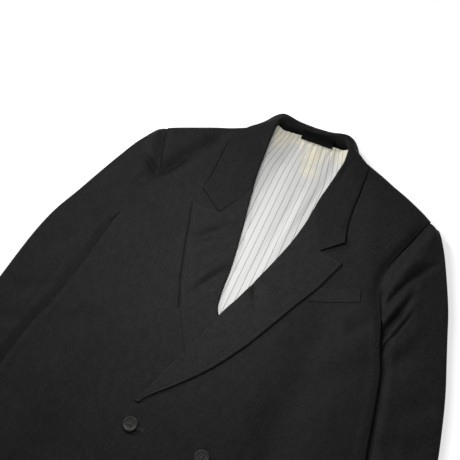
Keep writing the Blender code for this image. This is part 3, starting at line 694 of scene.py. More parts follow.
for word, side in SIDES:

    def front_place(across, along):
        edge_y, side_y, bow_share = row_at(FRONT_ROWS, evenly(FRONT_ROWS, 0, along))
        inner = front_edge(edge_y, side) + side * ROLL_INSET * step(edge_y, *ROLL_BEGINS)
        at_armhole = step(side_y, *FRONT_ARMHOLE)
        turn_width = blend(FOLD_RADIUS, SEAM_TURN[0], at_armhole)
        end = body_edge(side_y, side) - SEAM_INSET * at_armhole
        outer = side * (end - turn_width)
        flat = np.minimum(across / (1 - FRONT_TURN_SHARE), 1.0)
        turn = np.maximum(across - 1 + FRONT_TURN_SHARE, 0.0) / FRONT_TURN_SHARE * math.pi / 2
        x = blend(inner, outer, flat)
        top_row = blend(FRONT_ROWS[-1][0], FRONT_ROWS[-1][1], flat)
        y = blend(edge_y, side_y, flat) + (shoulder_y(x, side) - top_row) * bow_share
        z = front_level(x, y, side)
        fold_height = (z - back_level(np.abs(x), y, side)) / 2
        turn_height = blend(fold_height, SEAM_TURN[1], at_armhole)
        z = z - turn_height * (1 - np.cos(turn))
        return x + side * turn_width * np.sin(turn), y, z

    front = cloth(
        f"front_{word}_cloth", f"front_{word}", body_wool,
        FRONT_ACROSS[side], FRONT_ALONG, front_place, BODY_CLOTH,
    )


# The welt of the breast pocket: a narrow strip of wool, folded double and sewn up along its lower
# edge and its ends, on the wearer's left front. The pocket's mouth is behind its upper edge.
WELT_LOW_INNER = (9.75, -28.3)
WELT_LOW_OUTER = (16.9, -25.6)
WELT_TOP_INNER = (10.85, -25.6)
WELT_TOP_OUTER = (16.4, -23.5)
WELT_CLOTH = 0.1
WELT_STEP = 0.19
# The welt's wool is painted a little lighter than the fronts': a painted highlight
WELT_PAINTED_HIGHLIGHT_SHADES = ((0.0056, 0.0057, 0.0056, 1.0), (0.0218, 0.0222, 0.0218, 1.0))

# Groove of its lower seam: depth, width as a share of its height
WELT_SEAM = (0.03, 0.12)


def welt_place(across, along):
    low = [blend(a, b, across) for a, b in zip(WELT_LOW_INNER, WELT_LOW_OUTER)]
    top = [blend(a, b, across) for a, b in zip(WELT_TOP_INNER, WELT_TOP_OUTER)]
    x, y = blend(low[0], top[0], along), blend(low[1], top[1], along)
    sewn = np.exp(-((along / WELT_SEAM[1]) ** 2))
    return x, y, front_level(x, y, 1) + WELT_STEP - WELT_SEAM[0] * sewn


welt = cloth(
    "chest_welt_cloth", "chest_welt", wool("welt_wool_painted_lighter", *WELT_PAINTED_HIGHLIGHT_SHADES),
    stops((1.0, 44)), stops((0.3, 10), (1.0, 10)), welt_place, WELT_CLOTH,
)


# The side panels: narrow strips of the same wool, from the underarm to the hem.
# Each is sewn to the front on the side fold and to the back underneath.
SIDE_TOP = -28.42
SIDE_FOLD_SHARE = 0.25

# The turn round the side fold begins at this share of a half circle, just past its outermost line
SIDE_TURN_START = 0.51

for word, side in SIDES:

    def side_place(across, along):
        y = blend(HEM_Y, SIDE_TOP, along)
        start = body_edge(y, side) - FOLD_RADIUS
        top = front_level(side * start, y, side)
        bottom = back_level(start, y, side)
        middle, radius = (top + bottom) / 2, (top - bottom) / 2
        turn = math.pi * blend(SIDE_TURN_START, 1.0, np.minimum(across / SIDE_FOLD_SHARE, 1.0))
        under = np.maximum(across - SIDE_FOLD_SHARE, 0.0) / (1 - SIDE_FOLD_SHARE)
        end = body_edge(y, side) - SIDE_PANEL_WIDTH + SEAM_GAP
        x = np.where(under > 0, blend(start, end, under), start + FOLD_RADIUS * np.sin(turn))
        z = np.where(under > 0, back_level(x, y, side), middle + radius * np.cos(turn))
        return side * x, y, z

    panel = cloth(
        f"side_{word}_cloth", f"side_{word}", body_wool,
        stops((SIDE_FOLD_SHARE, 8), (1.0, 14)), stops((1.0, 110)), side_place, BODY_CLOTH,
    )


# The sleeves: each is a tube of two cuts of wool, the top sleeve and the under sleeve, set in at
# the armhole. They run down beside the body, and their inner folds are tucked under it.
UNDERARM_Y = -28.25
SLEEVE_TUCK_LEVEL = 0.5
SLEEVE_LOWEST = 0.35
SLEEVE_FOLD_WIDTH = 0.45
TUCK_RADIUS = (SLEEVE_TUCK_LEVEL - FLOOR_LEVEL) / 2
FOLD_GAP = 0.1
SLEEVE_FLAT_SHARE = 0.84
SLEEVE_SEAM_SHARE = 0.05

# The left sleeve's wool is painted a little lighter than the body's: painted light that lifts the shade
# on that side
LEFT_SLEEVE_PAINTED_LIGHT_SHADES = ((0.0052, 0.0052, 0.0052, 1.0), (0.0208, 0.0208, 0.0208, 1.0))

# Least height of each cloth above or below the shoulder's edge
SLEEVE_END_GAP = 0.12

# Smooth steps: start and width
SLEEVE_MEETS_FRONT = (-28.8, 1.8)
SLEEVE_GOES_UNDER = (-22.5, -3.5)
SLEEVE_BELOW_ARMHOLE = (UNDERARM_Y + 0.5, -0.6)
SLEEVE_EDGE_TURNS = (-26.5, 3.0)
SLEEVE_SWELL = (2.3, 0.03)

# Rise from the seam to the crown: start and width beside the armhole, then beside the body
SLEEVE_RISE = ((0.6, 2.4), (0.0, 1.9))
CROWN_SHARE = 0.35

# The creases fade in from the seam and out to the fold
CREASES_FADE_IN = (-0.1, 0.6)
CREASES_FADE_OUT = 1.5

# The inner fold's half turn opens below the armhole: start and width of an even step.
# The top sleeve draws back from it: the same, in shares of that step.
INNER_FOLD_OPENS = (-24.5, 4.0)
TOP_DRAWS_BACK = (0.3, 0.45)

# Outer fold of the sleeves
# y, out from centre on the wearer's right, on the wearer's left
SLEEVE_EDGE = (
    (-69.0, 34.2, 34.2),
    (-55.0, 34.0, 33.8),
    (-43.4, 33.5, 33.1),
    (-37.0, 33.2, 32.3),
    (-33.0, 32.8, 31.6),
    (-29.5, 32.1, 30.8),
    (-25.6, 30.8, 29.9),
    (-21.7, 29.6, 29.0),
    (-17.5, 28.2, 27.7),
    (-13.3, 26.6, 26.2),
    (-11.5, 25.6, 25.4),
    (-9.9, 24.65, 24.6),
    (-9.3, 24.3, 24.25),
)

# Sleeve: y, how far it goes in under the body, level of its crown, level of its outer fold
SLEEVE_FORM = (
    (-69.0, 5.6, 1.1, 1.0),
    (-60.0, 6.0, 1.1, 1.0),
    (-50.0, 5.9, 1.12, 1.05),
    (-40.0, 4.9, 1.15, 1.1),
    (-35.0, 3.5, 1.25, 1.18),
    (-31.0, 1.3, 1.35, 1.24),
    (-28.3, 0.4, 1.45, 1.3),
    (-20.0, 0.4, 1.8, 1.5),
    (-15.0, 0.4, 2.2, 1.75),
    (-11.0, 0.4, 2.6, 2.0),
    (-8.0, 0.4, 2.75, 2.1),
)

# Ends of a sleeve's rows: y at its inner side, y at its outer fold
SLEEVE_ROWS = (
    (-69.0, -69.0),
    (-58.0, -58.0),
    (-46.0, -46.0),
    (-37.0, -37.0),
    (-31.0, -32.0),
    (-27.6, -28.8),
    (-22.4, -23.6),
    (-16.9, -17.8),
    (-12.7, -13.4),
    (-9.95, -10.7),
    (-8.7, -9.3),
)

# Creases of each sleeve: from x, y to x, y, bow, width, height
SLEEVE_CREASES = {
    -1: (
        (-24.0, -15.2, -20.4, -17.2, 0.0, 0.5, -0.42),
        (-24.2, -13.6, -21.4, -15.2, 0.1, 0.8, 0.16),
        (-23.4, -20.6, -21.6, -19.2, 0.0, 0.6, -0.32),
        (-25.4, -29.0, -22.8, -25.0, 0.2, 1.3, -0.34),
        (-28.0, -24.0, -25.6, -17.0, 0.3, 1.6, 0.2),
        (-30.5, -36.0, -26.0, -31.5, 0.3, 1.7, -0.28),
        (-31.5, -44.0, -25.5, -41.0, 0.5, 1.4, -0.3),
        (-32.0, -48.5, -26.0, -47.5, 0.3, 1.2, -0.24),
        (-31.0, -57.5, -27.0, -54.0, 0.3, 1.5, -0.24),
    ),
    1: (
        (19.3, -22.0, 20.8, -27.6, 0.1, 0.42, -0.42),
        (19.7, -22.6, 24.2, -14.4, -0.7, 0.75, 0.26),
        (20.5, -25.4, 25.4, -15.4, -0.85, 0.55, -0.62),
        (22.4, -19.2, 25.6, -15.2, -0.2, 0.8, -0.34),
        (20.9, -27.2, 24.8, -19.0, -0.3, 0.5, 0.3),
        (20.7, -30.2, 23.8, -20.0, 0.3, 0.6, -0.75),
        (21.5, -31.2, 24.6, -22.8, 0.1, 0.4, 0.3),
        (21.2, -32.6, 24.5, -23.4, 0.15, 0.34, -0.6),
        (22.6, -31.8, 26.2, -24.8, 0.3, 0.9, 0.22),
        (22.6, -35.0, 26.8, -28.6, 0.3, 1.5, -0.28),
        (25.6, -39.5, 30.5, -35.0, 0.4, 1.7, -0.26),
        (25.2, -43.0, 31.5, -41.6, 0.5, 1.4, -0.3),
        (25.8, -49.0, 32.0, -46.6, 0.4, 1.2, -0.24),
        (27.0, -57.0, 31.0, -54.5, 0.3, 1.5, -0.24),
    ),
}

# Roll of the sleeve's head beside the armhole seam
# y, height on the wearer's right, height on the wearer's left
SLEEVE_HEAD = (
    (-31.0, 0.0, 0.0),
    (-26.0, 0.06, 0.12),
    (-20.0, 0.26, 0.42),
    (-14.0, 0.34, 0.55),
    (-10.0, 0.2, 0.36),
    (-8.5, 0.0, 0.0),
)
SLEEVE_HEAD_CENTRE = 1.5
SLEEVE_HEAD_WIDTH = 1.0


def sleeve_edge(y, side):
    return read(SLEEVE_EDGE, y, side_column(side))


def sleeve_seam_level(y, side):
    """Level of the sleeve where it meets the armhole or goes in under the body."""
    at_front = front_level(side * body_edge(y, side), y, side)
    return blend(SLEEVE_TUCK_LEVEL, at_front, step(y, *SLEEVE_MEETS_FRONT))


def sleeve_level(x, y, side):
    """Middle of the top sleeve's cloth, with its creases."""
    out = np.abs(x) - body_edge(y, side)
    width = sleeve_edge(y, side) - body_edge(y, side)
    tucked = step(y, *SLEEVE_GOES_UNDER)
    start, reach = [blend(beside, under, tucked) for beside, under in zip(*SLEEVE_RISE)]
    level = blend(sleeve_seam_level(y, side), read(SLEEVE_FORM, y, 2), step(out, start, reach))
    past_crown = step(out, CROWN_SHARE * width, (1 - CROWN_SHARE) * width)
    level = blend(level, read(SLEEVE_FORM, y, 3), past_crown)
    head = (out - SLEEVE_HEAD_CENTRE) / SLEEVE_HEAD_WIDTH
    shaped = creases(x, y, SLEEVE_CREASES[side]) + swell(x, y, *SLEEVE_SWELL)
    shaped = shaped + read(SLEEVE_HEAD, y, side_column(side)) * np.exp(-head * head)
    level = level + shaped * step(out, *CREASES_FADE_IN) * ease((width - out) / CREASES_FADE_OUT)
    share = rounding(below_shoulder(x, y, side))
    rise = level - SHOULDER_EDGE_LEVEL
    rise = np.where(share < 1, np.maximum(rise * share, SLEEVE_END_GAP), rise)
    return np.maximum(SHOULDER_EDGE_LEVEL + rise, SLEEVE_LOWEST)


def under_sleeve_level(x, y, side):
    share = rounding(below_shoulder(x, y, side))
    return SHOULDER_EDGE_LEVEL - np.maximum((SHOULDER_EDGE_LEVEL - FLOOR_LEVEL) * share, SLEEVE_END_GAP)


def inner_fold_turn(y):
    """Share of the inner fold's half turn: none at the armhole, whole below the underarm."""
    start, width = INNER_FOLD_OPENS
    return np.clip((start - y) / width, 0.0, 1.0)


def sleeve_row(along, side):
    """Inner and outer ends of a sleeve's row, with the centre and radii of its outer fold."""
    inner_y, outer_y = row_at(SLEEVE_ROWS, evenly(SLEEVE_ROWS, 0, along))
    edge = body_edge(inner_y, side)
    tucked_in = edge - read(SLEEVE_FORM, inner_y, 1)
    inner = blend(edge + 2 * SEAM_GAP, tucked_in, step(inner_y, *SLEEVE_BELOW_ARMHOLE))
    outer = sleeve_edge(outer_y, side)
    start = outer - SLEEVE_FOLD_WIDTH
    top = sleeve_level(side * start, outer_y, side)
    bottom = under_sleeve_level(start, outer_y, side)
    return inner, inner_y, outer, outer_y, start, (top + bottom) / 2, (top - bottom) / 2


TOP_SLEEVE_ACROSS = stops((SLEEVE_SEAM_SHARE, 7), (0.5, 50), (SLEEVE_FLAT_SHARE, 26), (1.0, 14))
TOP_SLEEVE_ALONG = stops((0.62, 86), (1.0, 130))
UNDER_SLEEVE_ACROSS = stops((SLEEVE_FLAT_SHARE, 40), (1.0, 12))
UNDER_SLEEVE_ALONG = stops((0.9, 100), (1.0, 24))
# The left sleeve takes the wool painted lighter, to lift its shade
sleeve_wools = {-1: body_wool, 1: wool("sleeve_wool_left_painted_lighter", *LEFT_SLEEVE_PAINTED_LIGHT_SHADES)}

for word, side in SIDES:

    def under_sleeve_place(across, along):
        inner, inner_y, outer, outer_y, start, middle, radius = sleeve_row(along, side)
        start = start - FOLD_GAP
        flat = np.minimum(across / SLEEVE_FLAT_SHARE, 1.0)
        share = np.maximum(across - SLEEVE_FLAT_SHARE, 0.0) / (1 - SLEEVE_FLAT_SHARE)
        turned = inner_fold_turn(inner_y)
        turn = math.pi * share * turned
        round_x = inner + TUCK_RADIUS * (1 - np.sin(turn))
        round_x = blend(round_x, blend(inner + TUCK_RADIUS, inner, share), 1 - turned)
        x = np.where(share > 0, round_x, blend(start, inner + TUCK_RADIUS, flat))
        y = blend(outer_y, inner_y, (start - x) / (start - inner))
        lift = TUCK_RADIUS * (1 - np.cos(turn))
        return side * x, y, under_sleeve_level(x, y, side) + lift

    def top_sleeve_place(across, along):
        inner, inner_y, outer, outer_y, start, middle, radius = sleeve_row(along, side)
        drawn_back, over = TOP_DRAWS_BACK
        beyond = np.clip((inner_fold_turn(inner_y) - drawn_back) / over, 0.0, 1.0)
        at_armhole = step(inner_y, *SLEEVE_EDGE_TURNS)
        seam_start = inner + (SEAM_INSET - 2 * SEAM_GAP + SEAM_TURN[0]) * at_armhole
        inner = seam_start + (TUCK_RADIUS + FOLD_GAP) * beyond
        seam_turn = np.maximum(1 - across / SLEEVE_SEAM_SHARE, 0.0) * math.pi / 2
        flat = (across - SLEEVE_SEAM_SHARE) / (SLEEVE_FLAT_SHARE - SLEEVE_SEAM_SHARE)
        flat = np.clip(flat, 0.0, 1.0)
        turn = math.pi * np.maximum(across - SLEEVE_FLAT_SHARE, 0.0) / (1 - SLEEVE_FLAT_SHARE)
        x = blend(inner, start, flat)
        y = blend(inner_y, outer_y, flat)
        folded_x = start + (outer - start) * np.sin(turn)
        z = np.where(turn > 0, middle + radius * np.cos(turn), sleeve_level(side * x, y, side))
        x = np.where(turn > 0, folded_x, x) - SEAM_TURN[0] * np.sin(seam_turn)
        return side * x, y, z - SEAM_TURN[1] * at_armhole * (1 - np.cos(seam_turn))

    under = cloth(
        f"sleeve_{word}_under_cloth", f"sleeve_{word}_under", body_wool,
        UNDER_SLEEVE_ACROSS, UNDER_SLEEVE_ALONG, under_sleeve_place, BODY_CLOTH,
    )
    top = cloth(
        f"sleeve_{word}_top_cloth", f"sleeve_{word}_top", sleeve_wools[side],
        TOP_SLEEVE_ACROSS, TOP_SLEEVE_ALONG, top_sleeve_place, BODY_CLOTH,
    )


# The back's lining, where the neck shows it: thin ivory satin with dark pin stripes.
# It is gathered a little into the neck seam, hangs in long soft folds and is stained there; the stains
# are also painted lighter than the clean satin, as painted light in the shade below the collar.
LINING_CLOTH = 0.1
LINING_LOWEST = 0.29

# From its lower end up to the neck seam: y, how far it reaches to the wearer's right, to the left,
# level in the middle, level at the sides, height of its folds
LINING_ROWS = (
    (-44.0, 3.5, 3.5, 0.32, 0.32, 0.0),
    (-38.0, 4.0, 4.0, 0.32, 0.32, 0.0),
    (-32.0, 5.0, 5.0, 0.32, 0.32, 0.02),
    (-26.0, 5.8, 5.8, 0.34, 0.34, 0.06),
    (-20.0, 6.3, 6.3, 0.36, 0.45, 0.12),
    (-14.0, 6.4, 6.7, 0.4, 0.85, 0.2),
    (-8.0, 6.3, 7.0, 0.45, 1.5, 0.22),
    (-4.0, 6.25, 7.1, 0.55, 2.0, 0.12),
    (-1.5, 6.3, 7.0, 0.85, 2.2, 0.05),
    (-0.1, 6.35, 6.85, 1.1, 2.3, 0.0),
)

# Its sides rise over a band of this width, whose step would go on past the edge by this factor.
# The folds lift the whole lining by this share of their height.
LINING_SIDE_WIDTH = 1.8
LINING_SIDE_REACH = 1.4
FOLD_SHARE = 0.35

# Gathers: height, waves to a centimetre, and how the waves drift. Cloth taken up at the seam.
GATHER_HEIGHT = 0.08
GATHER_WAVES = (4.6, 1.3, 1.7)
LINING_FULLNESS = 0.28

# The neck seam sinks towards both of its ends, and with each gather
SEAM_DIP = 0.4
GATHER_DIP = 0.1

# Smooth steps: start and width, up to the seam and down from it
NEAR_NECK_SEAM = (-9.0, 9.0)
BELOW_NECK_SEAM = (-0.2, -2.0)
LINING_EDGE_FADE = 0.8
LINING_SWELL = (1.6, 0.02)

# Creases of the lining: from x, y to x, y, bow, width, height
LINING_CREASES = (
    (1.9, -9.6, -0.4, -33.0, -0.4, 0.75, -0.20),
    (3.4, -6.0, 1.6, -26.0, -0.3, 0.8, 0.14),
    (-0.6, -4.0, -1.6, -28.0, -0.2, 1.1, 0.12),
    (-5.9, -6.0, -2.5, -24.0, 0.3, 0.5, -0.18),
    (-4.2, -3.0, -3.4, -22.0, 0.2, 0.7, 0.14),
    (1.2, -9.2, 6.6, -8.4, 0.2, 0.6, -0.12),
    (5.4, -2.0, 3.0, -20.0, -0.3, 0.55, -0.14),
)

# Pin stripes, in metres: distance from one to the next, width. Their colour and strength, and
# where their soft edges begin and end, in shares of the width. The satin's finish.
STRIPE_PITCH = 0.0102
STRIPE_WIDTH = 0.0011
STRIPE_COLOUR = (0.17, 0.17, 0.18, 1.0)
STRIPE_STRENGTH = 0.7
STRIPE_EDGES = (0.25, 0.75)
SATIN_ROUGHNESS = 0.42
SATIN_GLOSS = 0.35

# Stains, which also carry painted light against the shade below the collar: x, y, level, radius, with
# the colour of clean and of stained satin, the stained one painted lighter
STAINS_AND_PAINTED_LIGHT = (
    (-5.6, -2.2, 2.0, 3.6),
    (-3.6, -0.6, 1.3, 3.0),
    (-1.4, -0.5, 1.0, 2.6),
    (0.6, -1.2, 0.9, 2.8),
    (1.3, -3.4, 0.6, 3.0),
    (1.7, -6.0, 0.5, 2.4),
    (2.9, -0.7, 1.1, 2.7),
    (4.6, -0.8, 1.4, 2.8),
    (6.2, -1.3, 2.0, 3.2),
)
CLEAN_SATIN = (0.755, 0.755, 0.74, 1.0)
STAINED_SATIN_PAINTED_LIGHTER = (0.97, 0.905, 0.69, 1.0)

# Their soft edges begin at this share of the radius, and their strength is uneven: repeats to a
# metre and layers of detail, the grain from which it rises and up to which, weakest and strongest
STAIN_EDGE = 0.1
STAIN_GRAIN = (70.0, 4.0)
STAIN_RANGE = {"From Min": 0.35, "From Max": 0.65, "To Min": 0.5, "To Max": 1.0}


def lining_place(across, along):
    y, right, left, level, side_level, fold = row_at(LINING_ROWS, evenly(LINING_ROWS, 0, along))
    half_width = np.where(across < 0.5, right, left)
    x = (2 * across - 1) * half_width
    near_seam = step(y, *NEAR_NECK_SEAM)
    reach = LINING_SIDE_REACH * LINING_SIDE_WIDTH
    side_rise = ease((np.abs(x) - half_width + LINING_SIDE_WIDTH) / reach)
    waves, drift, drift_waves = GATHER_WAVES
    gathers = np.sin(x * waves + drift * np.sin(x * drift_waves)) * near_seam ** 2
    z = blend(level, side_level, side_rise / ease(1 / LINING_SIDE_REACH))
    z = z + FOLD_SHARE * fold + GATHER_HEIGHT * gathers
    fade = ease((half_width - np.abs(x)) / LINING_EDGE_FADE) * step(y, *BELOW_NECK_SEAM)
    z = z + creases(x, y, LINING_CREASES) * fade + swell(x, y, *LINING_SWELL) * fade
    dip = (SEAM_DIP * (x / half_width) ** 2 + GATHER_DIP * gathers) * near_seam
    return x, y - dip, np.maximum(z, LINING_LOWEST)


def fading(tree, distance, whole, gone, strength):
    """Full strength up to one distance, and none from another on."""
    inputs = {"Value": distance, "From Min": whole, "From Max": gone, "To Min": strength, "To Max": 0.0}
    return pattern(tree, "MapRange", "Result", inputs, interpolation_type="SMOOTHSTEP")


def striped_satin():
    """Ivory satin with stripes along its threads, and water stains below the neck seam, painted lighter
    as painted light.
    """
    material, shader = surface("striped_satin", SATIN_ROUGHNESS, SATIN_GLOSS)
    tree = material.node_tree
    threads = pattern(tree, "UVMap", "UV", {}, uv_map="threads")
    across = pattern(tree, "SeparateXYZ", "X", {"Vector": threads})
    to_stripe = pattern(tree, "Math", "Value", {0: across, 1: STRIPE_PITCH / 2}, operation="PINGPONG")
    inner, outer = [STRIPE_WIDTH * share for share in STRIPE_EDGES]
    stripe = fading(tree, to_stripe, inner, outer, STRIPE_STRENGTH)

    place = pattern(tree, "TexCoord", "Object", {})
    # Real yellow stains, and also painted light that lifts the shade below the collar
    stain_and_painted_light = 0.0
    for x, y, level, radius in STAINS_AND_PAINTED_LIGHT:
        middle = in_frame(x, y, level)
        apart = pattern(tree, "VectorMath", "Value", {0: place, 1: middle}, operation="DISTANCE")
        spot = fading(tree, apart, STAIN_EDGE * radius * CM, radius * CM, 1.0)
        stain_and_painted_light = pattern(tree, "Math", "Value", {0: stain_and_painted_light, 1: spot}, operation="MAXIMUM")
    grain = noise(tree, place, *STAIN_GRAIN)
    uneven = pattern(tree, "MapRange", "Result", {"Value": grain, **STAIN_RANGE})
    stain_and_painted_light = pattern(tree, "Math", "Value", {0: stain_and_painted_light, 1: uneven}, operation="MULTIPLY")
    ground = two_tone(tree, stain_and_painted_light, CLEAN_SATIN, STAINED_SATIN_PAINTED_LIGHTER)
    tree.links.new(two_tone(tree, stripe, ground, STRIPE_COLOUR), shader.inputs["Base Color"])
    return material


lining = cloth(
    "lining_back_satin", "lining_back", striped_satin(),
    stops((1.0, 104)), stops((0.8, 96), (1.0, 50)), lining_place, LINING_CLOTH,
)
lining_mesh = lining.data
corners = np.empty(len(lining_mesh.loops), np.int32)
lining_mesh.loops.foreach_get("vertex_index", corners)
points = np.empty(3 * len(lining_mesh.vertices), np.float32)
lining_mesh.vertices.foreach_get("co", points)
garment_y = (points[1::3] - HEM_PLACE) / CM + HEM_Y
pulled_in = np.empty(2 * len(corners), np.float32)
lining_mesh.uv_layers["threads"].data.foreach_get("uv", pulled_in)
pulled_in[0::2] *= 1 + LINING_FULLNESS * step(garment_y, *NEAR_NECK_SEAM)[corners]
lining_mesh.uv_layers["threads"].data.foreach_set("uv", pulled_in)


# The lapels: the facings of the fronts, folded out at the roll line, with peaks that point up.
# Their edges are pressed thin and sewn with a row of pick stitches half a centimetre in.
LAPEL_STEP = 0.25
LAPEL_NOSE = 0.2
LAPEL_NOSE_TURN = 0.72 * math.pi
LAPEL_NOSE_SHARE = 0.14
LAPEL_LENGTH = 34.0
LAPEL_SEAM_LENGTH = 30.0

# y on the roll line, x and y half way out, x and y on the outer edge
LAPEL_RIGHT = (
    (-51.5, 5.85, -51.45, 5.65, -51.4),
    (-50.5, 5.0, -50.35, 4.3, -50.1),
    (-48.0, 2.9, -47.6, 1.0, -47.2),
    (-44.0, 0.6, -43.9, -2.0, -44.0),
    (-40.0, -1.9, -40.2, -4.8, -39.8),
    (-36.0, -3.9, -36.5, -6.9, -36.4),
    (-32.0, -5.4, -32.7, -8.6, -32.6),
    (-28.0, -6.2, -29.2, -9.75, -29.2),
    (-23.0, -7.2, -25.2, -11.0, -25.5),
    (-18.5, -7.8, -22.0, -11.9, -22.4),
    (-14.05, -8.25, -19.85, -12.6, -20.1),
)
LAPEL_LEFT = (
    (-51.5, -5.75, -51.45, -5.58, -51.4),
    (-50.6, -5.2, -50.45, -4.75, -50.15),
    (-47.5, -3.2, -47.0, -1.6, -46.8),
    (-43.0, -0.8, -43.0, 1.5, -43.0),
    (-38.0, 1.3, -38.4, 4.4, -38.3),
    (-33.0, 3.5, -33.6, 6.9, -33.2),
    (-28.0, 5.5, -29.0, 8.8, -29.1),
    (-23.0, 6.9, -25.4, 10.4, -25.9),
    (-18.0, 8.1, -22.2, 11.7, -22.6),
    (-13.45, 8.75, -19.95, 12.5, -20.6),
)
LAPELS = {-1: LAPEL_RIGHT, 1: LAPEL_LEFT}

# How far the outer edge stands off the front: place from the break to the peak, height
LAPEL_SPRING = (
    (0.0, 0.0),
    (0.2, 0.06),
    (0.5, 0.09),
    (0.8, 0.06),
    (1.0, 0.04),
)

# Pick stitches: distance from the edge, length, pitch, thickness, sides and rings of the thread
STITCH_INSET = 0.5
STITCH_LENGTH = 0.18
STITCH_PITCH = 0.31
STITCH_THREAD = 0.045
STITCH_SIDES = 6
STITCH_RINGS = 5
STITCH_SHADES = ((0.034, 0.035, 0.034, 1.0), (0.078, 0.081, 0.078, 1.0))
TWIST = (900.0, 2.0)
THREAD_ROUGHNESS = 0.6
THREAD_GLOSS = 0.5

# The row begins at this share of the lapel's length. Where the lapel is narrower than this width,
# the row's distance from the edge shrinks with it. Along the top the row runs from this share of
# that distance to this share of the width. Points of both lines. Share of the thread that rises.
STITCHES_BEGIN = 0.1
STITCHES_LEAST_WIDTH = 1.2
STITCHES_TOP = (0.75, 0.5)
STITCH_LINE_POINTS = (240, 60)
STITCH_RISE = 0.2

# Groove that the stitches pull into the lapel: width, depth. Along the top it fades in from the
# roll line, steeper by this factor than the lapel is wide, and it is left out beside the roll line
# in this share of the width, by a distance that puts it far off.
STITCH_GROOVE = (0.13, 0.035)
TOP_GROOVE_FADE = 3.0
NO_TOP_GROOVE = 0.2
FAR_OFF = 10.0

# The lapels' wool is painted lighter than the fronts', the wearer's left one a little more than the
# right: painted light for the light they catch
LAPEL_PAINTED_LIGHT_SHADES = {
    -1: ((0.0052, 0.0053, 0.0052, 1.0), (0.0198, 0.0203, 0.0198, 1.0)),
    1: ((0.0059, 0.0061, 0.0059, 1.0), (0.0216, 0.0223, 0.0216, 1.0)),
}


def lapel_point(share, along, side):
    """A point of the lapel, from the roll line to its outer edge and from the break to the peak."""
    roll_y, half_x, half_y, out_x, out_y = row_at(LAPELS[side], along)
    start_x = front_edge(roll_y, side) + side * LAPEL_NOSE
    first, second = np.minimum(2 * share, 1.0), np.maximum(2 * share - 1, 0.0)
    x = blend(blend(start_x, half_x, first), out_x, second)
    y = blend(blend(roll_y, half_y, first), out_y, second)
    from_edge = (1 - share) * np.abs(out_x - start_x)
    from_top = (1 - along) * LAPEL_LENGTH * ease(share * TOP_GROOVE_FADE)
    from_top = from_top + FAR_OFF * (share < NO_TOP_GROOVE)
    groove = (np.minimum(from_edge, from_top) - STITCH_INSET) / STITCH_GROOVE[0]
    spring = read(LAPEL_SPRING, along, 1) * share**2
    rest = front_level(x, y, side) + LAPEL_STEP
    return x, y, rest + spring - STITCH_GROOVE[1] * np.exp(-groove * groove)


def stitch_thread():
    """Twisted silk thread, a little lighter than the wool."""
    material, shader = surface("pick_stitch_thread", THREAD_ROUGHNESS, THREAD_GLOSS)
    tree = material.node_tree
    twist = noise(tree, pattern(tree, "TexCoord", "Object", {}), *TWIST)
    tree.links.new(two_tone(tree, twist, *STITCH_SHADES), shader.inputs["Base Color"])
    return material


def spaced(line, pitch):
    """Points at equal distances along a line of points."""
    run = np.concatenate([[0.0], np.cumsum(np.linalg.norm(np.diff(line, axis=0), axis=1))])
    places = np.arange(pitch / 2, run[-1], pitch)
    return np.column_stack([np.interp(places, run, line[:, axis]) for axis in range(3)])


def thread_bars(name, bars, thickness):
    """Short rounded bars of thread between pairs of points, as one piece."""
    sewn = bmesh.new()
    for start, end in bars:
        start, end = Vector(in_frame(*start)), Vector(in_frame(*end))
        turn = (end - start).to_track_quat("Z", "Y").to_matrix().to_4x4()
        size = Matrix.Diagonal((1.0, 1.0, (end - start).length / (CM * thickness), 1.0))
        bmesh.ops.create_uvsphere(
            sewn, u_segments=STITCH_SIDES, v_segments=STITCH_RINGS, radius=CM * thickness / 2,
            matrix=Matrix.Translation((start + end) / 2) @ turn @ size,
        )
    bmesh.ops.recalc_face_normals(sewn, faces=sewn.faces[:])
    mesh = bpy.data.meshes.new(name)
    sewn.to_mesh(mesh)
    sewn.free()
    mesh.shade_smooth()
    mesh.materials.append(thread)
    piece = add_object(name, mesh)
    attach(piece, "root")
    return piece


def lapel_stitch_line(side):
    """The line of stitching, from the break along the outer edge, round the peak to the gorge."""
    along = np.linspace(STITCHES_BEGIN, 1.0, STITCH_LINE_POINTS[0])
    roll_y, half_x, half_y, out_x, out_y = row_at(LAPELS[side], along)
    width = np.abs(out_x - front_edge(roll_y, side))
    share = 1 - STITCH_INSET / np.maximum(width, STITCHES_LEAST_WIDTH)
    edge = np.column_stack(lapel_point(share, along, side))
    top_along = 1 - STITCH_INSET / LAPEL_SEAM_LENGTH
    turn, end = STITCHES_TOP
    share = np.linspace(1 - turn * STITCH_INSET / width[-1], end, STITCH_LINE_POINTS[1])
    top = np.column_stack(lapel_point(share, np.full_like(share, top_along), side))
    line = np.vstack([edge[edge[:, 1] < top[0, 1]], top])
    line[:, 2] += BODY_CLOTH / 2 + STITCH_THREAD * STITCH_RISE
    return line


thread = stitch_thread()
LAPEL_ACROSS = stops((LAPEL_NOSE_SHARE, 10), (1.0, 66))
LAPEL_ALONG = stops((1.0, 180))

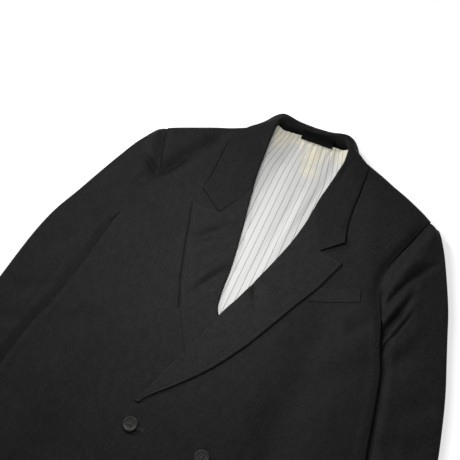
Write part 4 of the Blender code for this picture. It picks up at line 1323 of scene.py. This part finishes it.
for word, side in SIDES:

    def lapel_place(across, along):
        share = np.maximum(across - LAPEL_NOSE_SHARE, 0.0) / (1 - LAPEL_NOSE_SHARE)
        x, y, z = lapel_point(share, along, side)
        turn = LAPEL_NOSE_TURN * (1 - np.minimum(across / LAPEL_NOSE_SHARE, 1.0))
        return x - side * LAPEL_NOSE * np.sin(turn), y, z - LAPEL_NOSE * (1 - np.cos(turn))

    places = spaced(lapel_stitch_line(side), STITCH_PITCH)
    reach = np.gradient(places, axis=0)
    reach *= STITCH_LENGTH / 2 / np.linalg.norm(reach, axis=1)[:, None]
    bars = list(zip(places - reach, places + reach))
    stitches = thread_bars(f"lapel_{word}_stitches", bars, STITCH_THREAD)
    # Each lapel's wool is painted lighter: painted light
    lapel_painted_light_wool = wool(f"lapel_painted_light_wool_{word}", *LAPEL_PAINTED_LIGHT_SHADES[side])
    lapel = cloth(
        f"lapel_{word}_cloth", f"lapel_{word}", lapel_painted_light_wool,
        LAPEL_ACROSS, LAPEL_ALONG, lapel_place, BODY_CLOTH,
    )


# The collar: one fall of wool over the back of the neck, folded on top of its stand.
# Its ends meet the lapels at the gorge, and its fold rises towards the back of the neck.
COLLAR_NOSE = 0.22
COLLAR_NOSE_TURN = 0.6 * math.pi
COLLAR_NOSE_SHARE = 0.16
COLLAR_STATIONS = 30
COLLAR_FALL = 6.5
# The collar's wool is painted a little darker than the body's: painted shade
COLLAR_PAINTED_SHADE_TONES = ((0.0041, 0.0041, 0.0041, 1.0), (0.0166, 0.0167, 0.0166, 1.0))

# Its creases fade in from the fold, steeper by this factor than the fall is wide
COLLAR_CREASES_FADE = 4

# Both ends lift off the lapels: height, share of the collar's length
COLLAR_END_LIFT = (0.36, 0.05)

# Groove along its edge: width, depth
COLLAR_GROOVE = (0.14, 0.03)

# The collar lies on the fronts: its cloth reaches this far down over them, and the smooth steps
# from the shoulder line and from the neck's side, start and width
COLLAR_REACH = 0.35
OVER_SHOULDER = (-1.0, 0.8)
OUT_OF_NECK = (4.3, 1.6)

# From the gorge to the centre back
# x, y, z of the fold, x, y half way out, x, y, z of the outer edge, roundness of the drop
COLLAR_RIGHT = (
    (-5.03, -14.2, 0.0, -8.2, -19.75, -12.3, -17.15, 0.0, 0.0),
    (-5.45, -11.6, 0.0, -8.5, -16.2, -12.0, -14.9, 0.0, 0.0),
    (-5.68, -9.0, 0.0, -8.7, -11.9, -11.9, -11.6, 0.0, 0.0),
    (-5.87, -6.2, 2.5, -8.9, -8.1, -11.9, -8.4, 0.0, 0.0),
    (-6.0, -3.6, 3.0, -8.9, -4.6, -11.6, -5.6, 2.6, 0.0),
    (-6.07, -1.3, 3.4, -8.6, -2.4, -10.5, -3.6, 2.6, 0.1),
)
COLLAR_LEFT = (
    (5.28, -13.65, 0.0, 8.7, -19.85, 11.7, -17.35, 0.0, 0.0),
    (5.47, -11.5, 0.0, 8.5, -16.2, 11.2, -15.1, 0.0, 0.0),
    (5.93, -9.0, 0.0, 8.5, -12.0, 10.9, -12.0, 0.0, 0.0),
    (6.4, -6.4, 2.5, 8.7, -8.3, 10.9, -8.8, 0.0, 0.0),
    (6.8, -3.7, 3.0, 8.9, -4.6, 10.8, -5.7, 2.6, 0.0),
    (6.65, -1.3, 3.4, 8.8, -2.1, 10.6, -3.1, 2.65, 0.1),
)
COLLAR_BACK = (
    (5.6, 0.25, 3.45, 7.1, -0.5, 8.8, -1.2, 1.9, 0.6),
    (4.5, 0.6, 3.6, 5.7, 1.3, 7.0, 1.75, 0.7, 1.0),
    (2.5, 0.45, 3.05, 3.0, 1.2, 3.6, 2.0, 0.25, 1.0),
    (0.0, 0.2, 2.75, 0.0, 1.2, 0.0, 2.05, 0.2, 1.0),
)

# Troughs of the collar: from x, y to x, y, bow, width, height
COLLAR_CREASES = (
    (11.0, -8.6, 10.9, -17.0, -0.1, 0.4, -0.10),
    (7.3, -3.6, 7.2, -9.4, 0.1, 0.6, -0.12),
    (-10.9, -7.0, -11.2, -15.0, 0.1, 0.4, -0.05),
)


def collar_section(along):
    """The section at a place along the collar: its nine sizes, with x signed by its side."""
    sections = []
    for side, front_rows in ((-1, COLLAR_RIGHT), (1, COLLAR_LEFT)):
        back_rows = [
            (side * fold_x, fold_y, fold_z, side * half_x, half_y, side * edge_x, edge_y, edge_z, drop)
            for fold_x, fold_y, fold_z, half_x, half_y, edge_x, edge_y, edge_z, drop in COLLAR_BACK
        ]
        from_gorge = np.clip(2 * along if side < 0 else 2 * (1 - along), 0.0, 1.0)
        sections.append(row_at(list(front_rows) + back_rows, from_gorge))
    return [np.where(along < 0.5, right, left) for right, left in zip(*sections)]


def on_front(x, y, z):
    """Lift a level to lie on the front where there is one below."""
    lifted = z
    for side in (-1, 1):
        below = front_level(x, y - COLLAR_REACH, side)
        rest = np.maximum(front_level(x, y, side), below) + LAPEL_STEP
        over = step(below_shoulder(x, y, side), *OVER_SHOULDER) * step(side * x, *OUT_OF_NECK)
        lifted = blend(lifted, np.maximum(lifted, rest), over)
    return lifted


def collar_place(across, along):
    fold_x, fold_y, fold_z, half_x, half_y, edge_x, edge_y, edge_z, drop = collar_section(along)
    before = collar_section(np.maximum(along - 1 / COLLAR_STATIONS, 0.0))
    after = collar_section(np.minimum(along + 1 / COLLAR_STATIONS, 1.0))
    length = np.hypot(after[0] - before[0], after[1] - before[1])
    out_x, out_y = -(after[1] - before[1]) / length, (after[0] - before[0]) / length
    top_x, top_y = fold_x + COLLAR_NOSE * out_x, fold_y + COLLAR_NOSE * out_y
    top_z = on_front(top_x, top_y, fold_z)

    share = np.maximum(across - COLLAR_NOSE_SHARE, 0.0) / (1 - COLLAR_NOSE_SHARE)
    share = blend(share, np.sin(share * math.pi / 2), drop)
    first, second = np.minimum(2 * share, 1.0), np.maximum(2 * share - 1, 0.0)
    x = blend(blend(top_x, half_x, first), edge_x, second)
    y = blend(blend(top_y, half_y, first), edge_y, second)
    fall = blend(1 - share, np.sqrt(np.maximum(1 - share * share, 0.0)), drop)
    z = on_front(x, y, edge_z + (top_z - edge_z) * fall)
    lift, reach = COLLAR_END_LIFT
    off_end = np.exp(-((along / reach) ** 2)) + np.exp(-(((1 - along) / reach) ** 2))
    z = z + lift * off_end * share
    groove = ((1 - share) * COLLAR_FALL - STITCH_INSET) / COLLAR_GROOVE[0]
    z = z + creases(x, y, COLLAR_CREASES) * ease(share * COLLAR_CREASES_FADE)
    z = z - COLLAR_GROOVE[1] * np.exp(-groove * groove)

    turn = COLLAR_NOSE_TURN * (1 - np.minimum(across / COLLAR_NOSE_SHARE, 1.0))
    back = COLLAR_NOSE * np.sin(turn)
    return x - out_x * back, y - out_y * back, z - COLLAR_NOSE * (1 - np.cos(turn))


collar = cloth(
    "collar_cloth", "collar", wool("collar_wool_painted_darker", *COLLAR_PAINTED_SHADE_TONES),
    stops((COLLAR_NOSE_SHARE, 10), (1.0, 48)), stops((1.0, 280)), collar_place, BODY_CLOTH,
)


# The stand: the inner band of the collar, upright at the back of the neck, of the same wool.
# The lining is sewn in under it.
STAND_HALF_STATIONS = 6.8
STAND_END_SPREAD = 0.5
STAND_BASE_LEVEL = 0.18
NECK_SEAM_Y = 0.64

# The stand's upper edge is this far behind and below the collar's fold
STAND_TOP_GAP = (0.02, 0.06)


def stand_place(across, along):
    station = 0.5 + (2 * along - 1) * STAND_HALF_STATIONS / COLLAR_STATIONS
    x, y, z = collar_place(np.zeros_like(across), station)
    spread = STAND_END_SPREAD * (2 * along - 1) ** 5 * (1 - across)
    y = blend(NECK_SEAM_Y, y + STAND_TOP_GAP[0], across)
    return x + spread, y, blend(STAND_BASE_LEVEL, z - STAND_TOP_GAP[1], across)


stand = cloth(
    "collar_stand_cloth", "collar_stand", body_wool,
    stops((1.0, 30)), stops((1.0, 120)), stand_place, BODY_CLOTH,
)


# The neck label: a bare black satin label, sewn to the stand and lying on the lining.
# It is stiffer than the lining, so it stays nearly flat over the gathers.
LABEL_CLOTH = 0.1
LABEL_SIDES = (-1.7, 3.8)
LABEL_ROUGHNESS = 0.65
LABEL_GLOSS = 0.08
LABEL_SHADES = ((0.002, 0.002, 0.002, 1.0), (0.004, 0.004, 0.004, 1.0))

# Waves of its loose lower edge: height, waves to a centimetre
LABEL_WAVES = (0.03, 1.6)

# From its loose lower edge up the stand: y, level
LABEL_ROWS = (
    (-0.95, 1.3),
    (-0.4, 1.75),
    (0.0, 2.45),
)


def label_place(across, along):
    y, level = row_at(LABEL_ROWS, along)
    x = blend(*LABEL_SIDES, across)
    return x, y, level + LABEL_WAVES[0] * np.sin(x * LABEL_WAVES[1]) * (1 - along)


label = cloth(
    "neck_label_satin", "neck_label",
    wool("label_satin", *LABEL_SHADES, LABEL_ROUGHNESS, LABEL_GLOSS),
    stops((1.0, 40)), stops((1.0, 14)), label_place, LABEL_CLOTH,
)


# The buttons: dark turned discs with a raised rim and four holes, sewn on with crossed thread.
# The wearer's right pair goes through buttonholes, the left pair is for show.
BUTTON_ROWS = (-54.5, -65.5)
BUTTON_SPREAD = 5.2
BUTTON_REST = 0.15
BUTTON_SIDES = 48
BUTTON_SHARP = math.radians(50)
WELD = 0.000001
HORN_ROUGHNESS = 0.42
HORN_GLOSS = 0.35
HORN_GRAIN = (160.0, 5.0, 1.2)
HORN_SHADES = ((0.012, 0.012, 0.013, 1.0), (0.045, 0.042, 0.04, 1.0))

# Holes and the thread through them
HOLE_SPREAD = 0.2
HOLE_RADIUS = 0.085
HOLE_DEPTH = 0.2
HOLE_SIDES = 14
BUTTON_THREAD = 0.1
BUTTON_THREAD_RISE = 0.03

# Buttonholes: ends from the button's middle, half width of the slit, length and pitch of the
# stitches, thickness of their thread
BUTTONHOLE_ENDS = (-0.35, 2.0)
BUTTONHOLE_SLIT = 0.03
BUTTONHOLE_STITCH = 0.15
BUTTONHOLE_PITCH = 0.085
BUTTONHOLE_THREAD = 0.07

# Turned profile: radius, height
BUTTON_PROFILE = (
    (0.0, 0.0),
    (0.32, 0.0),
    (0.33, 0.1),
    (0.6, 0.12),
    (0.9, 0.15),
    (0.975, 0.2),
    (1.0, 0.27),
    (0.985, 0.34),
    (0.94, 0.39),
    (0.86, 0.41),
    (0.78, 0.385),
    (0.71, 0.35),
    (0.62, 0.335),
)


def dark_horn():
    """Polished horn with a faint cloudy grain."""
    material, shader = surface("button_horn", HORN_ROUGHNESS, HORN_GLOSS)
    tree = material.node_tree
    grain = noise(tree, pattern(tree, "TexCoord", "Object", {}), *HORN_GRAIN)
    tree.links.new(two_tone(tree, grain, *HORN_SHADES), shader.inputs["Base Color"])
    return material


def button_mesh(name, button_x, button_y, base, face):
    """The profile spun to a disc, closed by a face with four sunk holes."""
    turned = bmesh.new()
    ring = [
        turned.verts.new(in_frame(button_x + radius, button_y, base + height))
        for radius, height in BUTTON_PROFILE
    ]
    for lower, upper in zip(ring, ring[1:]):
        turned.edges.new((lower, upper))
    bmesh.ops.spin(
        turned, geom=turned.verts[:] + turned.edges[:], cent=in_frame(button_x, button_y, 0.0),
        axis=(0, 0, 1), angle=2 * math.pi, steps=BUTTON_SIDES, use_merge=True,
    )
    bmesh.ops.remove_doubles(turned, verts=turned.verts[:], dist=WELD)
    rims = [edge for edge in turned.edges if edge.is_boundary]
    holes = []
    for hole_x in (-HOLE_SPREAD, HOLE_SPREAD):
        for hole_y in (-HOLE_SPREAD, HOLE_SPREAD):
            place = in_frame(button_x + hole_x, button_y + hole_y, face)
            corners = bmesh.ops.create_circle(
                turned, cap_ends=False, segments=HOLE_SIDES, radius=CM * HOLE_RADIUS,
                matrix=Matrix.Translation(place),
            )["verts"]
            holes.append(list(dict.fromkeys(edge for corner in corners for edge in corner.link_edges)))
    bmesh.ops.triangle_fill(turned, use_beauty=True, edges=rims + sum(holes, []))
    for hole in holes:
        sunk = bmesh.ops.extrude_edge_only(turned, edges=hole)["geom"]
        floor_corners = [part for part in sunk if isinstance(part, bmesh.types.BMVert)]
        floor_edges = [part for part in sunk if isinstance(part, bmesh.types.BMEdge)]
        bmesh.ops.translate(turned, verts=floor_corners, vec=(0.0, 0.0, -CM * HOLE_DEPTH))
        bmesh.ops.edgeloop_fill(turned, edges=floor_edges)
    bmesh.ops.recalc_face_normals(turned, faces=turned.faces[:])
    mesh = bpy.data.meshes.new(name)
    turned.to_mesh(mesh)
    turned.free()
    mesh.shade_smooth()
    mesh.set_sharp_from_angle(angle=BUTTON_SHARP)
    return mesh


horn = dark_horn()
for row_number, button_y in enumerate(BUTTON_ROWS, 1):
    for word, side in SIDES:
        name = f"button_{word}_{row_number}"
        button_x = side * BUTTON_SPREAD
        base = float(front_level(np.array(button_x), np.array(button_y), 1)) + BUTTON_REST
        face = base + BUTTON_PROFILE[-1][1]
        disc_mesh = button_mesh(f"{name}_disc", button_x, button_y, base, face)
        disc_mesh.materials.append(horn)
        disc = add_object(f"{name}_disc", disc_mesh)
        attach(disc, "root")
        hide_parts(name)
        thread_level = face + BUTTON_THREAD_RISE
        crossed = [
            ((button_x - HOLE_SPREAD, button_y - way * HOLE_SPREAD, thread_level),
             (button_x + HOLE_SPREAD, button_y + way * HOLE_SPREAD, thread_level))
            for way in (-1, 1)
        ]
        thread_bars(f"{name}_thread", crossed, BUTTON_THREAD)

    slit = np.arange(*BUTTONHOLE_ENDS, BUTTONHOLE_PITCH) - BUTTON_SPREAD
    top = front_level(slit, np.full_like(slit, button_y), 1) + BODY_CLOTH / 2
    stitches = [
        ((x, button_y + way * BUTTONHOLE_SLIT, z),
         (x, button_y + way * (BUTTONHOLE_SLIT + BUTTONHOLE_STITCH), z))
        for x, z in zip(slit, top) for way in (-1, 1)
    ]
    thread_bars(f"buttonhole_{row_number}", stitches, BUTTONHOLE_THREAD)
